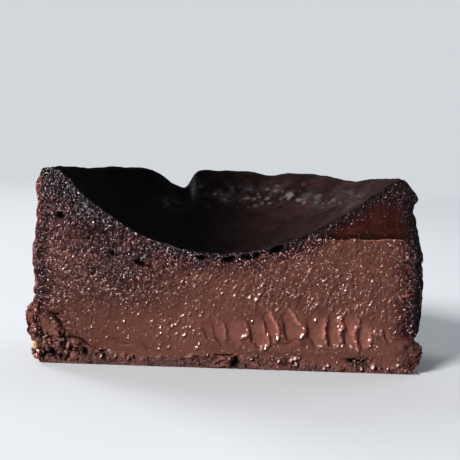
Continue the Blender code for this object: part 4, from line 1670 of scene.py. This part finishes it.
@dataclass
class CrumbBase(CutPiece):
    """The thin layer of pressed crumbs, with its lip up the side."""

    noise: Grain = Grain(23)
    columns: int = 400
    seat_rows: int = 10
    lip_rows: int = 34
    under_rows: int = 4
    face_columns: int = 440
    face_rows: int = 44
    facets: tuple[Facet, ...] = (
        (-58.2, 3.3, 0.8, 1.3), (-38.8, 2.9, 0.8, 1.3), (-34.5, 2.8, 0.6, 0.9), (-30.3, 2.5, 0.6, 0.9),
        (-29.1, 3.1, 0.5, 0.9), (-53.4, 9.4, 0.5, 0.9), (-49.6, 3.6, 0.5, 0.9), (-5.7, 4.3, 0.6, 0.7),
        (1.2, 3.2, 0.45, 1.0), (7.9, 3.4, 0.6, 0.9), (9.4, 4.4, 0.5, 0.7), (16.5, 3.1, 0.7, 0.9),
        (20.2, 3.4, 0.8, 1.1), (21.6, 4.2, 1.0, 1.2), (22.6, 4.4, 0.7, 1.2), (21.9, 2.3, 0.7, 1.1),
        (30.7, 1.1, 0.6, 0.8), (31.9, 2.1, 0.6, 0.8), (42.3, 1.4, 0.65, 0.9), (45.8, 2.2, 0.9, 1.1),
        (50.6, 1.8, 0.6, 0.9), (53.6, 2.8, 0.6, 0.9), (56.0, 1.4, 0.6, 0.9), (57.4, 6.2, 0.6, 0.4),
    )
    smear_line: Line = (
        (-62.0, 30.0), (-48.0, 12.0), (-44.5, 4.4), (-41.5, 3.0), (-37.0, 4.8), (-32.0, 3.6), (-27.0, 1.8),
        (-21.0, 3.8), (-16.0, 2.2), (-9.0, 4.4), (-6.0, 4.4), (6.0, 4.8), (12.0, 4.2), (18.0, 5.4),
        (24.0, 5.0), (27.0, 1.8), (37.0, 2.2), (40.0, 5.6), (46.0, 5.2), (48.5, 2.0), (52.0, 2.0),
        (55.0, 3.6), (64.0, 5.0),
    )
    holes: tuple[Pit, ...] = (
        Pit(40.4, 3.6, 3.2, 1.0, 0.0, 1.5),
        Pit(3.1, 2.0, 1.2, 1.6, 0.0, 2.0),
        Pit(-38.9, 3.6, 1.6, 1.3, 0.0, 2.0),
        Pit(-54.6, 3.6, 1.8, 1.5, 0.0, 1.8),
        Pit(-43.8, 3.8, 0.7, 1.7, 0.0, 1.6),
        Pit(-51.1, 8.6, 1.0, 1.2, 0.0, 1.4),
        Pit(-51.4, 2.2, 1.4, 0.9, 0.0, 1.4),
    )

    @property
    def edges(self) -> CutEdges:
        """Where the outside borders the cut: from the lip's upper edge to the plate."""
        return CutEdges(self.seat_rows - 1, self.seat_rows + self.lip_rows - 2)

    def lumps(self, points: Points) -> tuple[Points, Points]:
        """Crumbs round scattered centres in two sizes, each set in or out by a step of its own.

        Args:
            points: places in the layer.

        Returns:
            How far they stand out, and how much painted shade each place gets in the gaps and dark cells,
            from 0 to 1.
        """
        warped = points + 0.8 * self.noise.smooth(points + 11.0, 1.4)[..., None]
        near, second, name = self.noise.cells(warped, 2.5)
        fine, fine_second, fine_name = self.noise.cells(warped + 5.0, 1.2)
        dome, small = (np.sqrt(np.clip(1.0 - distance**2, 0.0, 1.0)) for distance in (near, fine))
        height = 0.6 * dome + 0.35 * small + 0.8 * (name - 0.75) + 0.6 * (fine_name - 0.6)
        height += 0.35 * self.noise.smooth(points, 4.5) - 0.55
        # Painted shade: dark cells and the gaps between crumbs.
        hollow = ease(0.35, 0.05, name) * 0.5 + ease(0.25, 0.0, fine_name) * 0.6
        gap = (1.0 - ease(0.0, 0.16, second - near)) * 0.6
        gap = gap + (1.0 - ease(0.0, 0.14, fine_second - fine)) * 0.3
        return height, np.clip(gap + hollow, 0.0, 1.0)

    def outside(self) -> Surface:
        """The seat, the lip's outside and the underside as one grid."""
        seat, lip = self.form.seat_path(self.seat_rows)[::-1], self.form.lip_path(self.lip_rows)[1:]
        under = np.linspace((lip[-1, 0], 0.0), (0.0, 0.0), self.under_rows + 1)
        radius, angle, height, row = turned(np.vstack([seat, lip, under[1:]]), self.columns)
        points = self.form.settled(radius, angle, height)
        first, last = self.edges.top, self.edges.foot
        shown = ease(first - 1.0, first + 1.0, row) * (1.0 - ease(last - 1.5, last, row))
        height, gap = self.lumps(points)
        points = points - grid_normals(points) * (height * shown)[..., None]
        set_back(points)
        points[..., 2] = np.maximum(points[..., 2], 0.0)
        # Painted rim glow on the crumbs near the left corner.
        rim_glow_and_red = 0.25 * ease(140.0, 177.0, angle) * shown
        return points, {"deep": gap * shown, "tone": self.tone(points), "rim_glow_and_red": rim_glow_and_red}

    def tone(self, points: Points) -> Points:
        """How light each crumb is, one shade for each cell."""
        _, _, name = self.noise.cells(points, 2.5)
        _, _, fine = self.noise.cells(points + 5.0, 1.2)
        return 0.15 + 0.5 * name + 0.35 * fine

    def smear_share(self, x: Points, z: Points, to_top: Points) -> Points:
        """How far the knife drew filling down over the crumbs at a place on the cut, from 0 to 1."""
        reach, down = np.array(self.smear_line).T
        ragged = 0.8 * self.noise.on_face(x, z, 2.4)
        drawn = ease(-0.5, 0.5, z - np.interp(x, reach, down) + 1.9 * ragged)
        skirt = (1.0 - ease(0.1, 1.2, to_top + 1.5 * ragged)) * window(x, -42.0, 54.0, 3.0)
        flake = ease(0.35, 0.55, patch(x, z, (-55.4, 13.4), (3.0, 4.0)) + 0.2 * ragged)
        return 0.92 * np.max([drawn, skirt, flake], axis=0)

    def face(self, outside: Points) -> Surface:
        """The cut through the crumbs as a grid from left to right and from bottom to top."""
        grid, flat = self.edges.flat_grid(outside, self.face_columns, self.face_rows)
        x, z = grid[..., 0], grid[..., 2]
        shake = 0.9 * self.noise.smooth(grid + 3.0, 2.4)
        lobe = ease(51.5, 57.0, x + shake) * ease(1.0, 4.0, z)
        corner = ease(-42.0, -48.0, x)
        sizes = [(*self.lumps(scale * grid), self.tone(scale * grid)) for scale in (1.0, 0.6)]
        height, gap, shade = (fine + corner * (coarse - fine) for fine, coarse in zip(*sizes))
        smear = self.smear_share(x, z, distance_to(x, z, flat[1][::3])) * (1.0 - 0.9 * lobe)
        pressed = ease(0.4, -0.4, z - 0.9 - 1.5 * window(x, -46.0, -8.0, 2.5) + 0.4 * shake)
        calm = np.maximum(smear, 0.8 * pressed)
        flakes = 0.3 + 0.15 * window(x, -42.0, -8.0, 4.0) + 0.25 * window(x, 6.0, 50.0, 3.0) - 0.5 * corner
        chunk = window(x + shake, -4.6, 1.4, 0.7) * window(z + 0.7 * shake, 0.6, 3.6, 0.6)
        holes = sum(hole.depth * bell(np.hypot(*in_oval(x, z, hole)), 1.0) for hole in self.holes)
        holes += 1.4 * window(x, -3.2, 1.8, 0.6) * bell(z - 4.3, 0.35)
        holes *= 0.85 + 0.9 * self.noise.smooth(grid, 1.5)
        smooth = self.relief.height(x, z, self.relief.grain_share(x, z, 0.0 * x), 0.0 * x)
        crumbs = height * (1.0 - np.maximum(calm, flakes)) + 0.2 * calm + 0.1 + 0.6 * chunk
        stand = crumbs + np.minimum(1.0, 1.1 * smear) * (smooth - crumbs) - holes
        stand, shining = faceted(x, z, stand, self.facets)
        grid[..., 1] = -stand
        # Painted shade in gaps and holes, less where the knife smeared.
        deep = np.clip(gap * (1.0 - calm) * (1.0 - 0.9 * flakes) + ease(0.35, 1.0, holes), 0.0, 1.0)
        streaks = 0.35 * self.noise.smooth(grid, (9.0, 9.0, 0.8))
        shade = shade + 0.25 * chunk + 0.2 * window(x, 6.0, 50.0, 3.0) + 0.2 * corner
        tone = shade * (1.0 - 0.45 * pressed + streaks * pressed) * (1.0 - 0.9 * lobe)
        return grid, {
            # Painted shade, none on the facets.
            "deep": deep * (1.0 - shining),
            # Painted highlight: lighter tone on the shining facets.
            "tone": np.clip(tone + 0.3 * shining, 0.0, 1.0),
            "smear": smear * (1.0 - chunk),
            "film": 0.75 * shining + 0.2 * smear,
            # Painted rim glow at the left edge, and a red tint on the chunk and the right lobe.
            "rim_glow_and_red": 0.3 * ease(-58.5, -61.0, x) + 0.1 * chunk + 0.15 * lobe,
        }

    def build(self, finish: bpy.types.Material) -> bpy.types.Object:
        """The crumb base as a piece, with one finish all over."""
        piece = self.joined(outside_look=0).finish("crumb_base_layer", [finish], sharp=70.0)
        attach(piece, BODY)
        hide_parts("crumb_base")
        return piece


# -------- Stuck crumbs --------


@dataclass(frozen=True)
class CrumbPatch:
    """Crumbs stuck to a part of the cut: its two corners, how many, their usual radius and redness. At the
    left edge that redness is a painted rim glow.
    """

    low: tuple[float, float]
    high: tuple[float, float]
    count: int
    radius: float
    rim_glow_and_red: float


@dataclass(frozen=True)
class Flake:
    """One crumb of its own: its place, three radii, lean in degrees, and how red, pale and wet it is. Its
    red at the left edge is a painted rim glow.
    """

    place: tuple[float, float, float]
    radii: tuple[float, float, float]
    lean: float
    tone: float
    rim_glow_and_red: float
    pale: float
    film: float

    @property
    def turn(self) -> Points:
        """The lean as a matrix that turns about y."""
        return np.array(Matrix.Rotation(-math.radians(self.lean), 3, "Y"))


@dataclass
class StuckCrumbs:
    """Crumbs that stick to the cut, to its ragged left edge and round the lip, one joined piece."""

    form: CakeForm
    placing: Points
    patches: tuple[CrumbPatch, ...] = (
        CrumbPatch((-60.2, 1.0), (-54.5, 11.0), 40, 0.6, 0.1),
        CrumbPatch((-60.8, 10.0), (-58.4, 19.5), 34, 0.6, 0.6),
        CrumbPatch((-56.0, 0.8), (-46.0, 10.0), 34, 0.55, 0.08),
        CrumbPatch((-46.0, 0.9), (-8.0, 3.8), 46, 0.36, 0.05),
        CrumbPatch((5.5, 0.6), (18.0, 4.0), 46, 0.36, 0.05),
        CrumbPatch((18.0, 0.6), (25.0, 4.4), 26, 0.36, 0.1),
        CrumbPatch((25.0, 0.5), (38.0, 1.6), 22, 0.34, 0.05),
        CrumbPatch((38.0, 0.6), (47.0, 4.6), 36, 0.38, 0.05),
        CrumbPatch((47.0, 0.5), (60.0, 2.2), 40, 0.4, 0.15),
    )
    flakes: tuple[Flake, ...] = (
        Flake((-59.5, -0.5, 5.6), (1.05, 0.8, 1.35), 15.0, 1.0, 0.0, 1.0, 0.2),
        # This crumb's pale colour is a painted highlight that stands for a glint.
        Flake((-58.3, -0.9, 3.9), (0.65, 0.4, 0.55), -30.0, 1.0, 0.0, 0.9, 1.0),
        Flake((-58.7, -0.4, 2.1), (1.1, 0.8, 1.1), 0.0, 0.7, 1.0, 0.0, 0.8),
        Flake((-52.9, -0.6, 9.6), (0.7, 0.45, 1.4), 40.0, 0.9, 0.5, 0.0, 0.3),
        Flake((-49.2, -0.5, 5.6), (0.5, 0.45, 1.1), -10.0, 1.0, 0.1, 0.12, 0.2),
        Flake((-49.6, -0.5, 3.6), (0.5, 0.45, 0.9), 30.0, 1.0, 0.1, 0.08, 0.2),
        Flake((-54.9, -0.5, 7.3), (0.6, 0.45, 0.8), 25.0, 0.9, 0.5, 0.05, 0.2),
        Flake((-56.2, -0.5, 8.4), (0.4, 0.45, 0.9), -50.0, 1.0, 0.1, 0.15, 0.3),
        Flake((-61.0, 0.2, 17.4), (0.9, 0.8, 0.9), 0.0, 0.6, 1.0, 0.0, 0.3),
        Flake((55.1, -0.25, 24.8), (1.7, 0.3, 0.45), 15.0, 0.8, 1.0, 0.0, 0.4),
    )
    wall_count: int = 620
    wall_radius: float = 0.62
    seed: int = 17
    noise: Grain = Grain(31)

    def on_cut(self, chance: np.random.Generator) -> tuple[Points, ...]:
        """Centres, radii and redness of the crumbs on the cut face. The redness at the left edge is a
        painted rim glow.
        """
        groups = []
        for part in self.patches:
            spots = chance.uniform(part.low, part.high, (part.count, 2))
            sizes = part.radius * chance.uniform(0.45, 1.35, part.count)
            depth = -0.45 * chance.uniform(-0.4, 1.0, part.count)
            rim_glow_and_red = part.rim_glow_and_red * chance.uniform(0.3, 1.3, part.count)
            groups.append((np.stack([spots[:, 0], depth, spots[:, 1]], 1), sizes, rim_glow_and_red))
        return tuple(np.concatenate(parts) for parts in zip(*groups))

    def on_wall(self, chance: np.random.Generator) -> tuple[Points, ...]:
        """Centres, radii and redness of the crumbs round the lip, which lie closer at the left corner. The
        redness near that corner is a painted rim glow.
        """
        angle = 180.0 * chance.uniform(0.0, 1.0, self.wall_count) ** 0.8
        low = chance.uniform(0.0, 1.0, self.wall_count)
        near_top = chance.uniform(0.0, 1.0, self.wall_count) < 0.55
        height = np.where(near_top, self.form.lip_height + 2.6 * (low - 0.55), 1.2 + 13.0 * low)
        path = self.form.lip_path(60)
        radius = np.interp(height, path[::-1, 1], path[::-1, 0])
        sizes = self.wall_radius * chance.uniform(0.45, 1.3, self.wall_count)
        return self.form.settled(radius + 0.1, angle, height), sizes, ease(160.0, 178.0, angle) * 0.4

    def scattered(self) -> dict[str, Points]:
        """Place, radii, turn and looks of each scattered crumb."""
        chance = np.random.default_rng(self.seed)
        groups = [self.on_cut(chance), self.on_wall(chance)]
        centres, sizes, rim_glow_and_red = (np.concatenate(parts) for parts in zip(*groups))
        count = len(sizes)
        radii = sizes[:, None] * chance.uniform(0.45, 1.35, (count, 3))
        turns = np.linalg.qr(chance.normal(size=(count, 3, 3)))[0]
        tone = chance.uniform(0.2, 1.0, count)
        buttery = 0.8 * (chance.uniform(0.0, 1.0, count) > 0.8)
        film = np.maximum(0.8 * ease(0.15, 0.5, rim_glow_and_red), buttery)
        pale = np.zeros(count)
        return dict(place=centres, radii=radii, turn=turns, tone=tone, rim_glow_and_red=rim_glow_and_red, pale=pale, film=film)

    def build(self, finish: bpy.types.Material) -> bpy.types.Object:
        """Joins all crumbs into one mesh of small uneven balls."""
        crumbs = {
            name: np.concatenate([given, [getattr(flake, name) for flake in self.flakes]])
            for name, given in self.scattered().items()
        }
        centres, radii, turns = (crumbs.pop(name) for name in ("place", "radii", "turn"))
        ball, faces = unit_ball()
        lumpy = 1.0 + 0.45 * self.noise.smooth(ball[None] * 1.4 + centres[:, None] * 3.1, 1.0)
        points = np.einsum("nij,nkj->nki", turns, ball[None] * radii[:, None] * lumpy[..., None])
        points = points + centres[:, None]
        points[..., 2] = np.maximum(points[..., 2], 0.0)
        maker = MeshMaker(self.placing)
        numbers = maker.add_points(points, **{name: given[:, None] for name, given in crumbs.items()})
        maker.add_faces(numbers[:, faces])
        piece = maker.finish("stuck_crumbs", [finish], sharp=80.0)
        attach(piece, BODY)
        return piece


def unit_ball() -> tuple[Points, Indices]:
    """Points and three-sided faces of a ball of radius 1 with 80 faces."""
    work = bmesh.new()
    bmesh.ops.create_icosphere(work, subdivisions=2, radius=1.0)
    points = np.array([vertex.co[:] for vertex in work.verts])
    faces = np.array([[vertex.index for vertex in face.verts] for face in work.faces])
    work.free()
    return points, faces


# -------- Floor, light and camera --------


@dataclass(frozen=True)
class Softbox:
    """A rectangular soft light: where it stands, what it looks at, its size and its strength."""

    name: str
    place: tuple[float, float, float]
    size: tuple[float, float]
    watts: float
    colour: Colour

    def build(self, target: Points) -> None:
        """Adds the light, turned towards the target."""
        lamp = bpy.data.lights.new(self.name, "AREA")
        lamp.shape = "RECTANGLE"
        lamp.size, lamp.size_y = self.size
        lamp.energy = self.watts
        lamp.color = self.colour
        made = new_object(self.name, lamp)
        made.location = self.place
        made.rotation_euler = aimed(np.array(self.place), target).to_euler()


def aimed(place: Points, target: Points) -> Matrix:
    """The turn that makes a light or camera at a place look at the target."""
    return Vector(target - place).to_track_quat("-Z", "Y").to_matrix()


@dataclass(frozen=True)
class Studio:
    """A pale floor, soft lights and the camera, set as the photograph was taken."""

    cut_y: float
    distance: float = 237.0
    eye_height: float = 65.4
    pitch_down: float = 5.3
    roll: float = 1.9
    focal_pixels: float = 775.0
    frame_pixels: float = 460.0
    sensor: float = 36.0
    lit_height: float = 0.03
    floor_half_width: float = 6.0
    room: Room = Room()
    softboxes: tuple[Softbox, ...] = (
        Softbox("key_window", (-1.9, -1.95, 1.75), (1.0, 1.0), 155.0, (1.0, 0.98, 0.97)),
        Softbox("rim_window", (-2.3, 1.7, 1.2), (1.0, 1.0), 60.0, (0.93, 0.96, 1.0)),
        Softbox("far_window", (2.4, 1.6, 1.6), (1.2, 1.2), 16.0, (0.96, 0.98, 1.0)),
    )

    def build_floor(self, finish: bpy.types.Material) -> None:
        """A wide square floor under the cake."""
        corners = np.array([[-1.0, -1.0, 0.0], [1.0, -1.0, 0.0], [1.0, 1.0, 0.0], [-1.0, 1.0, 0.0]])
        corners = corners * self.floor_half_width
        mesh = bpy.data.meshes.new("studio_floor")
        mesh.from_pydata(corners.tolist(), [], [(0, 1, 2, 3)])
        mesh.materials.append(finish)
        floor = new_object("studio_floor", mesh)

    def build_world(self) -> None:
        """A room whose far side is pale and whose near side, behind the camera, is dim."""
        shader = Shader(bpy.data.worlds.new("studio_world"))
        tone = self.room.tone(shader, shader.part(shader.place.output("Generated"), "Y"))
        shader.join(shader.tree.nodes["Background"].inputs["Color"], tone)
        bpy.context.scene.world = shader.owner

    def build_camera(self) -> None:
        """A camera level with the rim, looking slightly down, rolled as the photograph is."""
        lens = bpy.data.cameras.new("camera")
        lens.sensor_width = self.sensor
        lens.lens = self.focal_pixels / self.frame_pixels * self.sensor
        lens.clip_start = 0.01
        made = new_object("camera", lens)
        tilt = Matrix.Rotation(math.radians(90.0 - self.pitch_down), 4, "X")
        roll = Matrix.Rotation(math.radians(self.roll), 4, "Z")
        place = (AXIS_X * MM, self.cut_y - self.distance * MM, self.eye_height * MM)
        made.matrix_world = Matrix.Translation(place) @ tilt @ roll
        bpy.context.scene.camera = made

    def build(self) -> None:
        """Floor, world, lights and camera."""
        self.build_floor(StudioFinish(self.room).material())
        self.build_world()
        for softbox in self.softboxes:
            softbox.build(np.array([0.0, self.cut_y, self.lit_height]))
        self.build_camera()
        bpy.context.scene.view_settings.view_transform = "Standard"
        bpy.context.scene.view_settings.look = "Medium High Contrast"


def main() -> None:
    """Loads the frame, builds each piece in order and notes the sizes."""
    logging.basicConfig(level=logging.INFO, format="%(message)s")
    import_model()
    cut_y = float(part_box("cheesecake")[0][1])
    placing = np.array([AXIS_X, cut_y / MM, 0.0])
    form = CakeForm()
    Filling(form, placing).build(CutFinish().material(), SkinFinish().material())
    crumb = CrumbFinish().material()
    CrumbBase(form, placing).build(crumb)
    StuckCrumbs(form, placing).build(crumb)
    Studio(cut_y).build()


if __name__ == "__main__":
    main()
